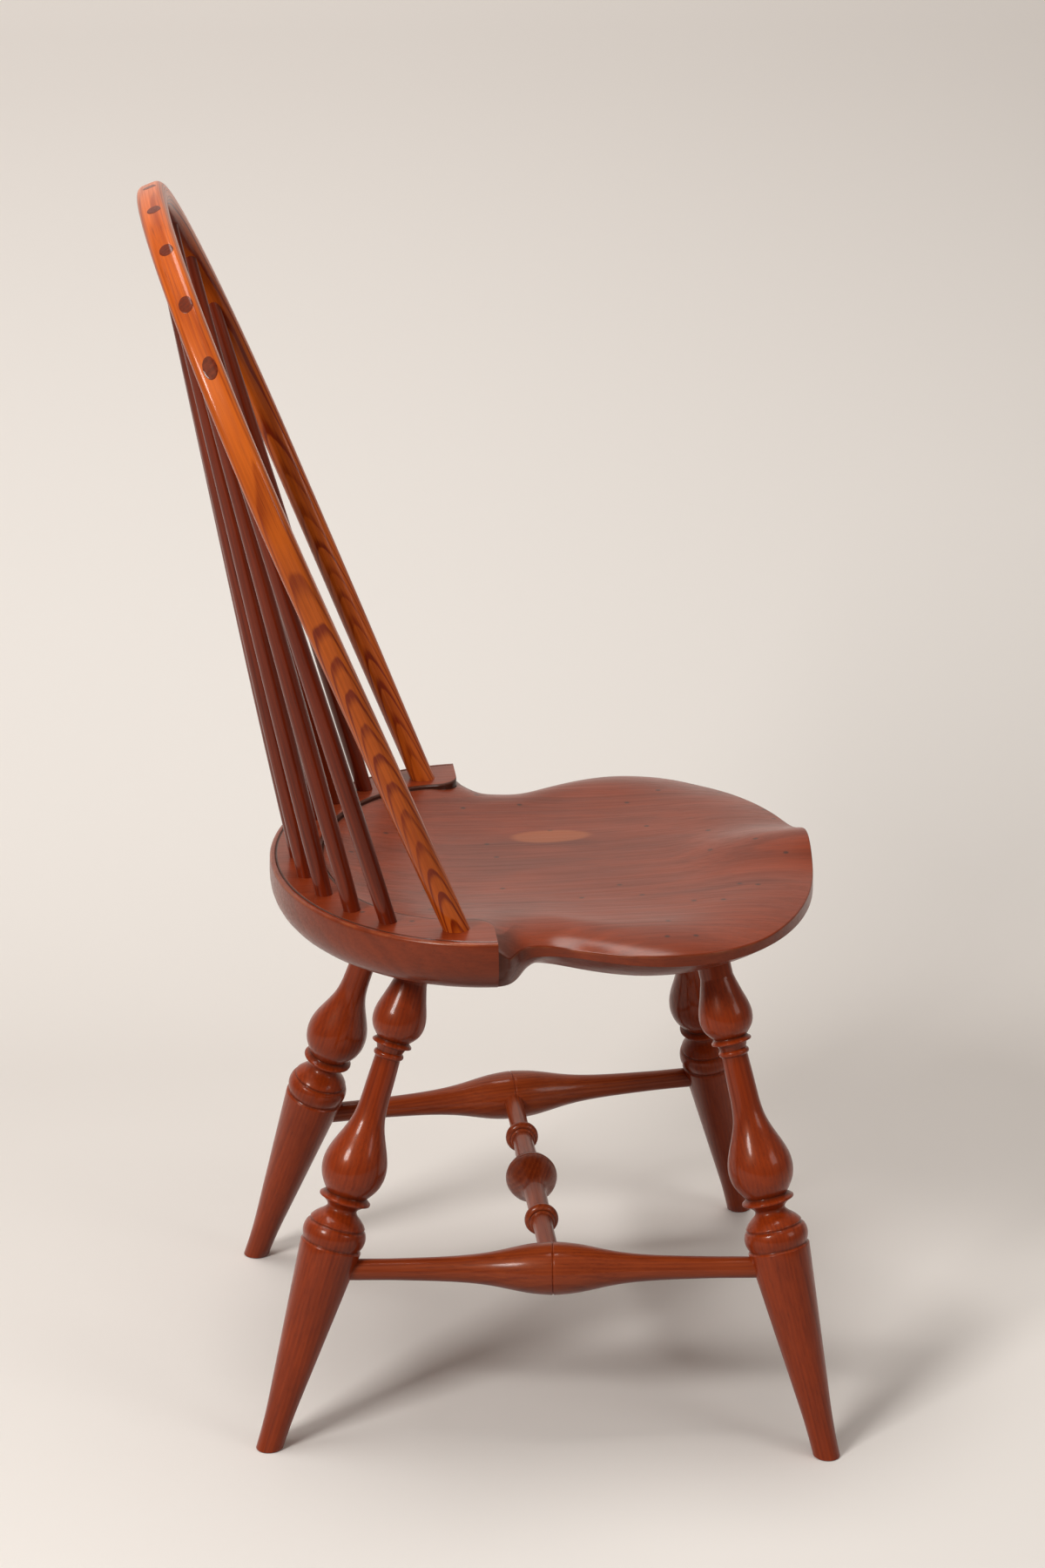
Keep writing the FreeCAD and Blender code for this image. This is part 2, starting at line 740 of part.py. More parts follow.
def doubled(outline, half):
    """Whole turning from the outline of its first half, mirrored about its middle."""
    first = turned(outline)
    second = first.mirror(V(0, 0, half), V(0, 0, 1))
    return first.fuse(second).removeSplitter()


def make_side_stretcher(side):
    """Side stretcher that swells to a scored line at its middle, with a socket for the cross stretcher."""
    rear, front = side_stretcher_line(side)
    half = front.sub(rear).Length / 2.0
    straight = half - side_stretcher_waist_offset - side_stretcher_waist_run
    outline = [(0.0, side_stretcher_end_diameter), ("line", [(straight, side_stretcher_end_diameter)])]
    waist = (half - side_stretcher_waist_offset, side_stretcher_waist_diameter)
    flare = (half - side_stretcher_flare_offset, side_stretcher_flare_diameter)
    swell_diameter = blend(side_stretcher_flare_diameter, side_stretcher_diameter,
                           side_stretcher_swell_fullness)
    swell = (half - side_stretcher_swell_share * side_stretcher_flare_offset, swell_diameter)
    outline.append(("curve", [waist, flare, swell, (half - score_width / 2.0, side_stretcher_diameter)]))
    outline.append(("line", [(half, side_stretcher_diameter - 2.0 * score_depth)]))
    stretcher = along(doubled(outline, half), rear, front.sub(rear).normalize())
    right_end, left_end = cross_line()
    end = right_end if side < 0.0 else left_end
    outer = V(side, 0, 0)
    return stretcher.cut(bore(end.add(outer * glue_gap), end.sub(outer * cut_margin), cross_end_diameter))


def make_cross_stretcher():
    """Turned cross stretcher with a scored bulb in the middle and a collared bead on each side."""
    right, left = cross_line()
    half = left.sub(right).Length / 2.0
    bead_start = half - cross_bead_offset - cross_bead_width / 2.0
    collar_start = bead_start - cross_collar_width
    outline = [(0.0, cross_end_diameter), ("line", [(collar_start - cross_end_run, cross_end_diameter)])]
    collar_foot = blend(cross_end_diameter, cross_neck_diameter, cross_end_fullness)
    outline.append(("line", [(collar_start, collar_foot)]))
    outline.append(("arc", [(bead_start - cross_collar_width / 2.0, cross_collar_diameter),
                            (bead_start, cross_neck_diameter)]))
    at = bead_start + cross_bead_width
    outline.append(("arc", [(at - cross_bead_width / 2.0, cross_bead_diameter), (at, cross_neck_diameter)]))
    outline.append(("arc", [(at + cross_collar_width / 2.0, cross_collar_diameter),
                            (at + cross_collar_width, cross_neck_diameter - groove_depth)]))
    outline.append(("line", [(half - cross_bulb_half_length, cross_neck_diameter)]))
    bulb = []
    fullness = (cross_bulb_low_fullness, cross_bulb_middle_fullness, cross_bulb_high_fullness)
    for i, size in enumerate(fullness):
        at = half - cross_bulb_half_length * (1.0 - (i + 1.0) / (len(fullness) + 1.0))
        bulb.append((at, blend(cross_neck_diameter, cross_bulb_diameter, size)))
    bulb.append((half - score_width / 2.0, cross_bulb_diameter))
    outline.append(("curve", bulb))
    outline.append(("line", [(half, cross_bulb_diameter - 2.0 * score_depth)]))
    return along(doubled(outline, half), right, V(1, 0, 0))


# The whole chair

SIDES = (("left", 1.0), ("right", -1.0))
ENDS = (("front", True), ("rear", False))


def spindle_indices():
    """Index of every spindle, from the sitter's right to the left."""
    return range(-spindles_per_side, spindles_per_side + 1)


def spindle_name(index):
    """Node name of a spindle, counted outwards from the middle."""
    if index == 0:
        return "spindle_middle"
    side = "left" if index > 0 else "right"
    return "spindle_%s_%d" % (side, abs(index))


def make_seat():
    """Carved seat with its sockets."""
    seat = tilted(make_seat_blank())
    for index in spindle_indices():
        seat = seat.cut(spindle_socket(index))
    for end, front in ENDS:
        for name, side in SIDES:
            seat = seat.cut(leg_socket(front, side))
    for name, side in SIDES:
        centre, down = bow_foot_line(side)
        seat = seat.cut(bore(centre.sub(down * cut_margin), centre.add(down * (2.0 * seat_thickness)),
                             bow_foot_diameter))
    return seat


def drilled(bow):
    """Bow with its spindle holes and the kerfs for its wedges."""
    for index in spindle_indices():
        bow = bow.cut(spindle_hole(index))
    for name, side in SIDES:
        bow = bow.cut(place_wedge(side, glue_gap))
    return bow


def make_chair():
    """Every piece by its node name."""
    bow = make_bow()
    pieces = {"seat": make_seat(), "bow": drilled(bow)}
    for name, side in SIDES:
        pieces["bow_wedge_" + name] = place_wedge(side, 0.0)
    for index in spindle_indices():
        pieces[spindle_name(index)] = make_spindle(index, bow)
    for end, front in ENDS:
        for name, side in SIDES:
            pieces["leg_%s_%s" % (end, name)] = make_leg(front, side)
    for name, side in SIDES:
        pieces["side_stretcher_" + name] = make_side_stretcher(side)
    pieces["cross_stretcher"] = make_cross_stretcher()
    return pieces


def main():
    """Move the origin under the middle of the chair and write one file per piece."""
    os.makedirs("parts", exist_ok=True)
    pieces = make_chair()
    boxes = [shape.optimalBoundingBox(False, False) for shape in pieces.values()]
    middle_y = (min(box.YMin for box in boxes) + max(box.YMax for box in boxes)) / 2.0
    for name, shape in pieces.items():
        shape.translate(V(0, -middle_y, 0))
        print(name, len(shape.Solids), shape.isValid(), round(shape.Volume))
        shape.exportStep("parts/%s.step" % name)
    print("moved along y by", round(-middle_y, 3))


main()
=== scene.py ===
"""Bow-back side chair: the visible surfaces of its pieces, made around the packed model.

The functions work in millimetres, in the frame of the packed model: +Z up, the sitter faces -Y, the
sitter's left is +X, and the origin is on the floor. Each surface is a grid of points over two
parameters, or an outline carried round an axis or along a line, and is scaled to metres at the end.
"""
import math
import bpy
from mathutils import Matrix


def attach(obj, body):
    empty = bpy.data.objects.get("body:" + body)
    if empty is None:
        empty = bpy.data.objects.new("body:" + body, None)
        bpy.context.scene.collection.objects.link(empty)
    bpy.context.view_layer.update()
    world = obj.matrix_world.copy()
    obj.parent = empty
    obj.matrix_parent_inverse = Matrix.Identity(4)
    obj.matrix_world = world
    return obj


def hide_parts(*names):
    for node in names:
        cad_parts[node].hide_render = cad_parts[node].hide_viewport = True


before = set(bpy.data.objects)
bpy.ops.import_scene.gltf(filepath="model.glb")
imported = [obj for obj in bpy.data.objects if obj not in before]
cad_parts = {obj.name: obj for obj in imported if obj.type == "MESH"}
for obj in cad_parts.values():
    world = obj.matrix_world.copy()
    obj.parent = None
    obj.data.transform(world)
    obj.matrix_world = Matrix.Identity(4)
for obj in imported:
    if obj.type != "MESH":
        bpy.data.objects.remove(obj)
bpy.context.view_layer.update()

from types import SimpleNamespace

import bmesh
import bpy
import numpy as np
from bpy.props import FloatProperty, FloatVectorProperty, IntProperty, PointerProperty
from bpy.types import Operator, Panel, PropertyGroup
from mathutils import Matrix

bl_info = {
    "name": "Bow-back Side Chair",
    "version": (1, 0, 0),
    "blender": (4, 5, 0),
    "location": "View3D > Sidebar > Chair",
    "description": "Carved seat, bent bow, shaved spindles and turned legs of a bow-back side chair",
    "category": "Add Mesh",
}

METRES = 0.001
FORWARD_SHIFT = -32.096
SIDES = (("left", 1.0), ("right", -1.0))
ENDS = (("front", True), ("rear", False))
PROFILE_STEP = 0.35
TURN_PER_ROW = math.radians(6.0)
LENGTH_PER_ROW = 7.0
# Window, depth and start of the groove depth that the materials paint as shade in the grooves
RECESS_WINDOW = 21
RECESS_DEPTH = 1.1
RECESS_START = 0.12


# Settings

def length(name, description, millimetres):
    """Length property, with its default given in millimetres."""
    return FloatProperty(name=name, description=description, default=millimetres * METRES,
                         subtype="DISTANCE", unit="LENGTH", precision=4)


def turn(name, description, degrees):
    """Angle property, with its default given in degrees."""
    return FloatProperty(name=name, description=description, default=math.radians(degrees),
                         subtype="ANGLE", unit="ROTATION")


def share(name, description, value):
    """Factor between 0 and 1."""
    return FloatProperty(name=name, description=description, default=value, min=0.0, max=1.0,
                         subtype="FACTOR")


def colour(name, description, red, green, blue):
    """Colour property, with its default given as screen values from 0 to 255."""
    return FloatVectorProperty(name=name, description=description, size=3, min=0.0, max=1.0,
                               default=(red / 255.0, green / 255.0, blue / 255.0), subtype="COLOR_GAMMA")


def sizes(group):
    """Settings of a group by name, with every length in millimetres."""
    values = {}
    for key in type(group).__annotations__:
        value = getattr(group, key)
        if group.bl_rna.properties[key].unit == "LENGTH":
            value = value / METRES
        values[key] = value
    return SimpleNamespace(**values)


class SeatSettings(PropertyGroup):
    """Sizes of the carved seat."""
    height: length("Height", "Height of the plank's top face at the middle of the chair", 443.5)
    tilt: turn("Tilt", "How far the plank leans back", 1.1)
    thickness: length("Thickness", "Thickness of the plank", 46.0)
    deck_half_width: length("Deck Half Width", "Half the width of the deck that carries the bow", 217.0)
    deck_rear_radius: length("Deck Rear Radius", "Reach of the deck behind its widest line", 172.0)
    deck_widest: length("Deck Widest Line", "Place along Y where the deck is widest", 35.0)
    deck_front: length("Deck Front Line", "Place along Y of the deck's two front corners", 41.0)
    deck_side: length("Deck Side", "Height of the upright part of the deck's edge", 24.0)
    deck_bottom_inset: length("Deck Bottom Inset", "How far the deck's underside lies inside its edge", 26.0)
    deck_rounding: length("Deck Rounding", "Radius of the deck's upper edge", 3.0)
    scribe_inset: length("Scribed Line Inset", "Distance of the scribed line from the deck's edge", 5.2)
    gutter_half_width: length("Gutter Half Width", "Half the width between the two sides of the gutter",
                              158.0)
    gutter_rear_radius: length("Gutter Rear Radius", "Reach of the gutter behind its corners", 104.0)
    gutter_corner: length("Gutter Corner", "Radius of the gutter where it turns out to the side", 19.0)
    front_half_width: length("Front Half Width", "Half the width of the seat's front part", 213.0)
    front_radius: length("Front Radius", "Reach of the front edge ahead of the widest line", 130.0)
    front_widest: length("Front Widest Line", "Place along Y where the front part is widest", -103.0)
    waist_half_width: length("Waist Half Width", "Half the width at the narrowest line", 178.0)
    waist: length("Waist Line", "Place along Y of the narrowest line", 5.0)
    step_half_width: length("Step Half Width", "Half the width where the front part meets the deck", 204.0)
    arris_depth: length("Arris Depth", "Depth of the lower edge of the side under the plank's top", 28.0)
    bevel: length("Bevel", "How far the underside is bevelled inwards", 34.0)
    saddle_depth: length("Saddle Depth", "Depth of the hollow", 18.0)
    pommel_half_width: length("Pommel Half Width", "Half the width of the ridge at the front", 38.0)
    crest: share("Crest", "Place of the crest between the middle and the edge", 0.72)


class BowSettings(PropertyGroup):
    """Sizes of the bent bow."""
    foot: length("Foot Line", "Place along Y where the bow enters the deck", 70.0)
    foot_half_spread: length("Foot Half Spread", "Half the distance between the bow's feet", 180.0)
    rake: turn("Rake", "How far the bow leans back", 22.1)
    side_lean: turn("Side Lean", "How far each side leans outwards", 6.9)
    side_length: length("Side Length", "Length of each straight side", 310.0)
    shoulder_radius: length("Shoulder Radius", "Radius of each shoulder", 250.0)
    shoulder_turn: turn("Shoulder Turn", "How far each shoulder turns", 48.6)
    foot_diameter: length("Foot Diameter", "Diameter where the bow enters the deck", 19.6)
    width: length("Width", "Thickness of the bow across its outer face", 21.0)
    depth: length("Depth", "Thickness of the bow from front to back", 21.5)
    round_length: length("Round Length", "Length of the round part of each side", 330.0)


class SpindleSettings(PropertyGroup):
    """Sizes of the spindles."""
    per_side: IntProperty(name="Per Side", description="Spindles on each side of the middle one", default=4)
    base_half_width: length("Base Half Width", "Half the width of the curve through their feet", 186.0)
    base_rear_radius: length("Base Rear Radius", "Reach of the curve through their feet", 134.0)
    base_centre: length("Base Centre", "Place along Y of the middle of that curve", 50.0)
    base_step: turn("Base Step", "Angle between two feet, seen from the middle of that curve", 14.5)
    top_spacing: length("Top Spacing", "Distance between two tops along the bow", 57.6)
    foot_diameter: length("Foot Diameter", "Diameter at the deck", 13.4)
    swell_diameter: length("Swell Diameter", "Largest diameter", 14.8)
    swell_height: length("Swell Height", "Height of the largest diameter above the deck", 130.0)
    top_diameter: length("Top Diameter", "Diameter in the bow", 11.0)
    top_straight: length("Top Straight", "Length of the straight part under the bow", 40.0)
    socket_depth: length("Socket Depth", "Depth of the socket in the deck", 28.0)


class LegSettings(PropertyGroup):
    """Places of the legs and the main sizes of their turning."""
    rear_foot_half_spread: length("Rear Foot Half Spread", "Half the distance between the rear feet", 176.3)
    rear_foot: length("Rear Foot Line", "Place along Y of the rear feet", 221.6)
    rear_socket_half_spread: length("Rear Socket Half Spread", "Half the distance of their sockets", 108.8)
    rear_socket: length("Rear Socket Line", "Place along Y of the rear sockets", 94.4)
    front_foot_half_spread: length("Front Foot Half Spread", "Half the distance between the front feet",
                                   230.6)
    front_foot: length("Front Foot Line", "Place along Y of the front feet", -221.6)
    front_socket_half_spread: length("Front Socket Half Spread", "Half the distance of their sockets", 130.6)
    front_socket: length("Front Socket Line", "Place along Y of the front sockets", -133.6)
    tenon: length("Tenon", "Length of the leg's top inside the seat", 24.0)
    foot_diameter: length("Foot Diameter", "Diameter at the floor", 21.0)
    taper_diameter: length("Taper Diameter", "Diameter at the top of the tapered lower part", 49.8)
    ring_diameter: length("Ring Diameter", "Diameter of the ring above the taper", 51.2)
    bulb_diameter: length("Bulb Diameter", "Diameter of the lower bulb", 51.4)
    neck_diameter: length("Neck Diameter", "Diameter of the slim neck", 20.6)
    upper_bulb_diameter: length("Upper Bulb Diameter", "Diameter of the upper bulb", 42.4)
    top_diameter: length("Top Diameter", "Diameter at the seat", 26.4)


class StretcherSettings(PropertyGroup):
    """Sizes of the three stretchers."""
    rear_height: length("Rear Height", "Height of a side stretcher at the rear leg", 143.6)
    front_height: length("Front Height", "Height of a side stretcher at the front leg", 149.8)
    past_axis: length("Past Axis", "How far a side stretcher runs past the legs' axes", 5.0)
    end_diameter: length("End Diameter", "Diameter of a side stretcher's ends", 17.2)
    waist_diameter: length("Waist Diameter", "Diameter of a side stretcher's waists", 19.4)
    flare_diameter: length("Flare Diameter", "Diameter half way up the swell", 28.6)
    diameter: length("Diameter", "Largest diameter of a side stretcher", 42.4)
    cross_short: length("Cross Short", "How far the cross stretcher stops short of their axes", 7.0)
    cross_end_diameter: length("Cross End Diameter", "Diameter of the cross stretcher's ends", 15.8)
    cross_neck_diameter: length("Cross Neck Diameter", "Diameter between its bulb and beads", 18.4)
    cross_diameter: length("Cross Diameter", "Diameter of its bulb", 43.2)
    bead_diameter: length("Bead Diameter", "Diameter of its two beads", 28.0)


class FinishSettings(PropertyGroup):
    """Colours of the stained and varnished wood."""
    seat_light: colour("Seat Light", "Late wood of the seat", 142, 54, 22)
    seat_dark: colour("Seat Dark", "Early wood of the seat", 90, 28, 10)
    bow_light: colour("Bow Light", "Late wood of the bow", 224, 108, 30)
    bow_dark: colour("Bow Dark", "Early wood of the bow", 136, 42, 10)
    spindle_light: colour("Spindle Light", "Late wood of the spindles", 136, 46, 16)
    spindle_dark: colour("Spindle Dark", "Early wood of the spindles", 92, 25, 9)
    leg_light: colour("Leg Light", "Late wood of the legs", 168, 61, 16)
    leg_dark: colour("Leg Dark", "Early wood of the legs", 112, 33, 7)
    stretcher_light: colour("Stretcher Light", "Late wood of the stretchers", 170, 72, 30)
    stretcher_dark: colour("Stretcher Dark", "Early wood of the stretchers", 112, 36, 13)
    # Painted shade in grooves and the gutter, stain and painted shade at the waist, dark end grain and specks
    shade_and_stain: colour("Recess", "Stain that has gathered in grooves and corners", 40, 14, 8)
    # Scuffed edges and the seat's pale heart; on the seat's edges also a painted highlight
    pale_and_highlight: colour("Worn", "Edges where the stain has rubbed off", 186, 104, 58)
    bare_light: colour("Bare Light", "Late wood of the wedges", 206, 168, 122)
    bare_dark: colour("Bare Dark", "Early wood of the wedges", 164, 120, 78)


class StageSettings(PropertyGroup):
    """Camera, floor and light."""
    lens: length("Lens", "Focal length of the camera", 85.84)
    camera_x: length("Camera X", "Place of the camera along X", -2849.144)
    camera_y: length("Camera Y", "Place of the camera along Y", 251.034)
    camera_z: length("Camera Z", "Height of the camera", 1475.910)
    yaw: turn("Yaw", "Turn of the view from +X towards -Y", 5.64517)
    pitch: turn("Pitch", "How far the camera looks down", 18.89816)
    roll: turn("Roll", "Turn of the camera about its view", 0.148384)
    floor: colour("Floor", "Floor and backdrop", 244, 237, 229)
    floor_bounce: colour("Floor Bounce", "Floor and backdrop as the light that they throw back", 112, 86, 66)
    world: FloatProperty(name="World", description="Strength of the even light from all around", default=0.22)
    key: FloatProperty(name="Key", description="Power of the large lamp", default=72.0, subtype="POWER")
    fill: FloatProperty(name="Fill", description="Power of the second lamp", default=12.0, subtype="POWER")
    top: FloatProperty(name="Top", description="Power of the lamp overhead", default=38.0, subtype="POWER")


# Curves and grids

def smooth(t):
    """Rise from 0 to 1 as t goes from 0 to 1: three t squared less two t cubed."""
    t = np.clip(t, 0.0, 1.0)
    return t * t * (3.0 - 2.0 * t)


def mix(low, high, t):
    """Value between low and high at the share t."""
    return low + (high - low) * t


def unit(vector):
    """Vector of length one."""
    return vector / np.linalg.norm(vector)


def spline(points, count):
    """Cubic curve through the points, without bend at its ends, over the distance between them."""
    p = np.asarray(points, float)
    gaps = np.linalg.norm(np.diff(p, axis=0), axis=1)
    knots = np.concatenate([[0.0], np.cumsum(gaps)])
    slope = np.diff(p, axis=0) / gaps[:, None]
    size = len(p)
    inner = np.arange(1, size - 1)
    matrix = np.eye(size)
    matrix[inner, inner - 1] = gaps[:-1]
    matrix[inner, inner] = 2.0 * (gaps[:-1] + gaps[1:])
    matrix[inner, inner + 1] = gaps[1:]
    target = np.zeros_like(p)
    target[1:-1] = 6.0 * np.diff(slope, axis=0)
    bend = np.linalg.solve(matrix, target)
    at = np.linspace(0.0, knots[-1], count)
    k = np.clip(np.searchsorted(knots, at, side="right") - 1, 0, size - 2)
    u = (at - knots[k])[:, None]
    h = gaps[k][:, None]
    first = slope[k] - h * (2.0 * bend[k] + bend[k + 1]) / 6.0
    return p[k] + u * first + u ** 2 * bend[k] / 2.0 + u ** 3 * (bend[k + 1] - bend[k]) / (6.0 * h)


def arc(start, middle, end, count):
    """Points of the circle through three points, from the first to the last."""
    start, middle, end = (np.asarray(p, float) for p in (start, middle, end))
    matrix = 2.0 * np.array([middle - start, end - start])
    target = np.array([middle @ middle - start @ start, end @ end - start @ start])
    centre = np.linalg.solve(matrix, target)
    radius = np.linalg.norm(start - centre)
    angles = [math.atan2(*(p - centre)[::-1]) for p in (start, middle, end)]
    a, b, c = np.unwrap(angles)
    if (b - a) * (c - b) < 0.0:
        c = a + math.copysign(abs(c - a), b - a)
    swing = np.linspace(a, c, count)
    return centre + radius * np.column_stack([np.cos(swing), np.sin(swing)])


def outline_points(outline):
    """Dense points (station, radius) of a turning's outline, its edges softened as by sanding.

    The outline starts with one (station, diameter) and goes on with ("line", ends), ("arc", middle
    and end) and ("curve", points that a smooth curve passes through).
    """
    halve = np.array([1.0, 0.5])
    parts = [np.array([outline[0]]) * halve]
    for kind, ends in outline[1:]:
        last = parts[-1][-1]
        ends = [np.array(end) * halve for end in ends]
        chain = np.array([last] + ends)
        count = 2 + int(np.linalg.norm(np.diff(chain, axis=0), axis=1).sum() / PROFILE_STEP)
        if kind == "line":
            run = mix(last, ends[-1], np.linspace(0.0, 1.0, count)[:, None])
        elif kind == "arc":
            run = arc(last, ends[0], ends[1], count)
        else:
            run = spline(chain, count)
        parts.append(run[1:])
    points = np.concatenate(parts)
    for _ in range(2):
        points[1:-1] = (points[:-2] + 2.0 * points[1:-1] + points[2:]) / 4.0
    return points


def thin_out(points, extra):
    """Fewer points of an outline: close together where it turns, further apart where it is straight."""
    steps = np.diff(points, axis=0)
    heading = np.unwrap(np.arctan2(steps[:, 1], steps[:, 0]))
    turning = np.abs(np.diff(heading, prepend=heading[0]))
    cost = np.linalg.norm(steps, axis=1) / LENGTH_PER_ROW + turning / TURN_PER_ROW
    run = np.concatenate([[0.0], np.cumsum(cost)])
    wanted = np.linspace(0.0, run[-1], int(run[-1]) + 2)
    columns = [np.interp(wanted, run, values) for values in (points[:, 0], points[:, 1], extra)]
    return np.column_stack(columns)


def groove_shade_of(points):
    """How deep each point of an outline lies under the mean of its surroundings, from 0 to 1, painted as
    shade.
    """
    width = RECESS_WINDOW
    padded = np.pad(points[:, 1], width // 2, mode="edge")
    mean = np.convolve(padded, np.ones(width) / width, mode="valid")
    return np.clip((mean - points[:, 1]) / RECESS_DEPTH - RECESS_START, 0.0, 1.0)


def turning(outline):
    """Rows (station, radius, groove depth painted as shade) of a turned piece."""
    points = outline_points(outline)
    return thin_out(points, groove_shade_of(points))


def mirrored(rows):
    """Rows of a turning that is the same on both sides of its last row."""
    half = rows[-1, 0]
    back = rows[-2::-1].copy()
    back[:, 0] = 2.0 * half - back[:, 0]
    return np.concatenate([rows, back])


def cross_axes(direction):
    """Two unit vectors square to a direction."""
    helper = np.array([0.0, 0.0, 1.0]) if abs(direction[2]) < 0.8 else np.array([0.0, 1.0, 0.0])
    first = unit(np.cross(direction, helper))
    return first, np.cross(direction, first)


def revolve(rows, start, direction, around):
    """Grid of a turning: each row is a circle about the axis, at its station and with its radius."""
    angles = np.linspace(0.0, 2.0 * np.pi, around, endpoint=False)
    first, second = cross_axes(direction)
    ring = np.cos(angles)[:, None] * first + np.sin(angles)[:, None] * second
    centres = start + rows[:, :1] * direction
    grid = centres[:, None, :] + rows[:, 1][:, None, None] * ring[None, :, :]
    grain = np.empty(grid.shape)
    grain[..., 0] = rows[:, 1][:, None] * np.cos(angles)
    grain[..., 1] = rows[:, 1][:, None] * np.sin(angles)
    grain[..., 2] = rows[:, 0][:, None]
    return grid, grain


def slide_to_plane(points, direction, plane_point, normal):
    """Points moved along a direction until they lie in a plane."""
    distance = (plane_point - points) @ normal / (direction @ normal)
    return points + distance[:, None] * direction


def grid_mesh(name, grid, layers):
    """Closed mesh of a grid whose columns run round, with a pole in the middle of each end row.

    The layers are the named values at the grid's points, for the materials. Faces are turned
    outwards: the sum of the tetrahedra from the origin to each face is a positive volume.
    """
    rows, columns = grid.shape[:2]
    index = np.arange(rows * columns).reshape(rows, columns)
    beside = np.roll(index, -1, axis=1)
    quads = np.stack([index[:-1], beside[:-1], beside[1:], index[1:]], axis=-1).reshape(-1, 4)
    first, last = rows * columns, rows * columns + 1
    low = np.stack([beside[0], index[0], np.full(columns, first)], axis=-1)
    high = np.stack([index[-1], beside[-1], np.full(columns, last)], axis=-1)
    points = np.concatenate([grid.reshape(-1, 3), grid[0].mean(0)[None], grid[-1].mean(0)[None]])
    triangles = np.concatenate([quads[:, :3], quads[:, [0, 2, 3]], low, high])
    a, b, c = (points[triangles[:, i]] for i in range(3))
    if np.einsum("ij,ij->i", a, np.cross(b, c)).sum() < 0.0:
        quads, low, high = quads[:, ::-1], low[:, ::-1], high[:, ::-1]
    mesh = bpy.data.meshes.new(name)
    mesh.from_pydata((points * METRES).tolist(), [], quads.tolist() + low.tolist() + high.tolist())
    for key, values in layers.items():
        flat = values.reshape(rows * columns, -1)
        flat = np.concatenate([flat, values[0].reshape(columns, -1).mean(0)[None],
                               values[-1].reshape(columns, -1).mean(0)[None]])
        kind, field = ("FLOAT_VECTOR", "vector") if flat.shape[1] == 3 else ("FLOAT", "value")
        layer = mesh.attributes.new(key, kind, "POINT")
        layer.data.foreach_set(field, flat.astype(np.float32).ravel())
    return mesh


def merge_doubles(mesh):
    """Join points that lie in one place, and drop the faces that this leaves without area."""
    work = bmesh.new()
    work.from_mesh(mesh)
    bmesh.ops.remove_doubles(work, verts=work.verts, dist=1.0e-6)
    work.to_mesh(mesh)
    work.free()


def add_piece(name, mesh, material, node, sharp_degrees=38.0):
    """Object of a finished mesh, which stands for a node of the packed model."""
    mesh.validate()
    mesh.shade_smooth()
    mesh.set_sharp_from_angle(angle=math.radians(sharp_degrees))
    mesh.materials.append(material)
    piece = bpy.data.objects.new(name, mesh)
    bpy.context.scene.collection.objects.link(piece)
    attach(piece, "root")
    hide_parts(node)
    return piece


# Places that the pieces share

def on_plank(seat, x, y, z):
    """Points of the leaning plank: z is measured from its top face, square to it."""
    x, y, z = np.broadcast_arrays(x, y, z)
    lean = seat.tilt
    along_y = y * math.cos(lean) + z * math.sin(lean) + FORWARD_SHIFT
    up = seat.height - y * math.sin(lean) + z * math.cos(lean)
    return np.stack([x, along_y, up], axis=-1).astype(float)


def plank_up(seat):
    """Unit vector square to the plank's top face."""
    return np.array([0.0, math.sin(seat.tilt), math.cos(seat.tilt)])


def leg_line(seat, legs, front, side):
    """Middle of a leg's foot, and the point where its axis meets the seat's underside."""
    if front:
        foot = np.array([side * legs.front_foot_half_spread, legs.front_foot + FORWARD_SHIFT, 0.0])
        return foot, on_plank(seat, side * legs.front_socket_half_spread, legs.front_socket, -seat.thickness)
    foot = np.array([side * legs.rear_foot_half_spread, legs.rear_foot + FORWARD_SHIFT, 0.0])
    return foot, on_plank(seat, side * legs.rear_socket_half_spread, legs.rear_socket, -seat.thickness)


def side_stretcher_line(seat, legs, stretchers, side):
    """Rear and front ends of a side stretcher, each a little past its leg's axis."""
    rear_foot, rear_socket = leg_line(seat, legs, False, side)
    front_foot, front_socket = leg_line(seat, legs, True, side)
    rear = mix(rear_foot, rear_socket, stretchers.rear_height / rear_socket[2])
    front = mix(front_foot, front_socket, stretchers.front_height / front_socket[2])
    past = unit(front - rear) * stretchers.past_axis
    return rear - past, front + past


def bow_half_length(bow):
    """Length of the bow's centre line from the deck to the middle of the crown."""
    heading = bow.side_lean - bow.shoulder_turn
    across = bow.foot_half_spread + bow.side_length * math.sin(bow.side_lean)
    across += bow.shoulder_radius * (math.cos(heading) - math.cos(bow.side_lean))
    crown = across / math.cos(heading)
    return bow.side_length + bow.shoulder_radius * bow.shoulder_turn + crown * (math.pi / 2.0 + heading)


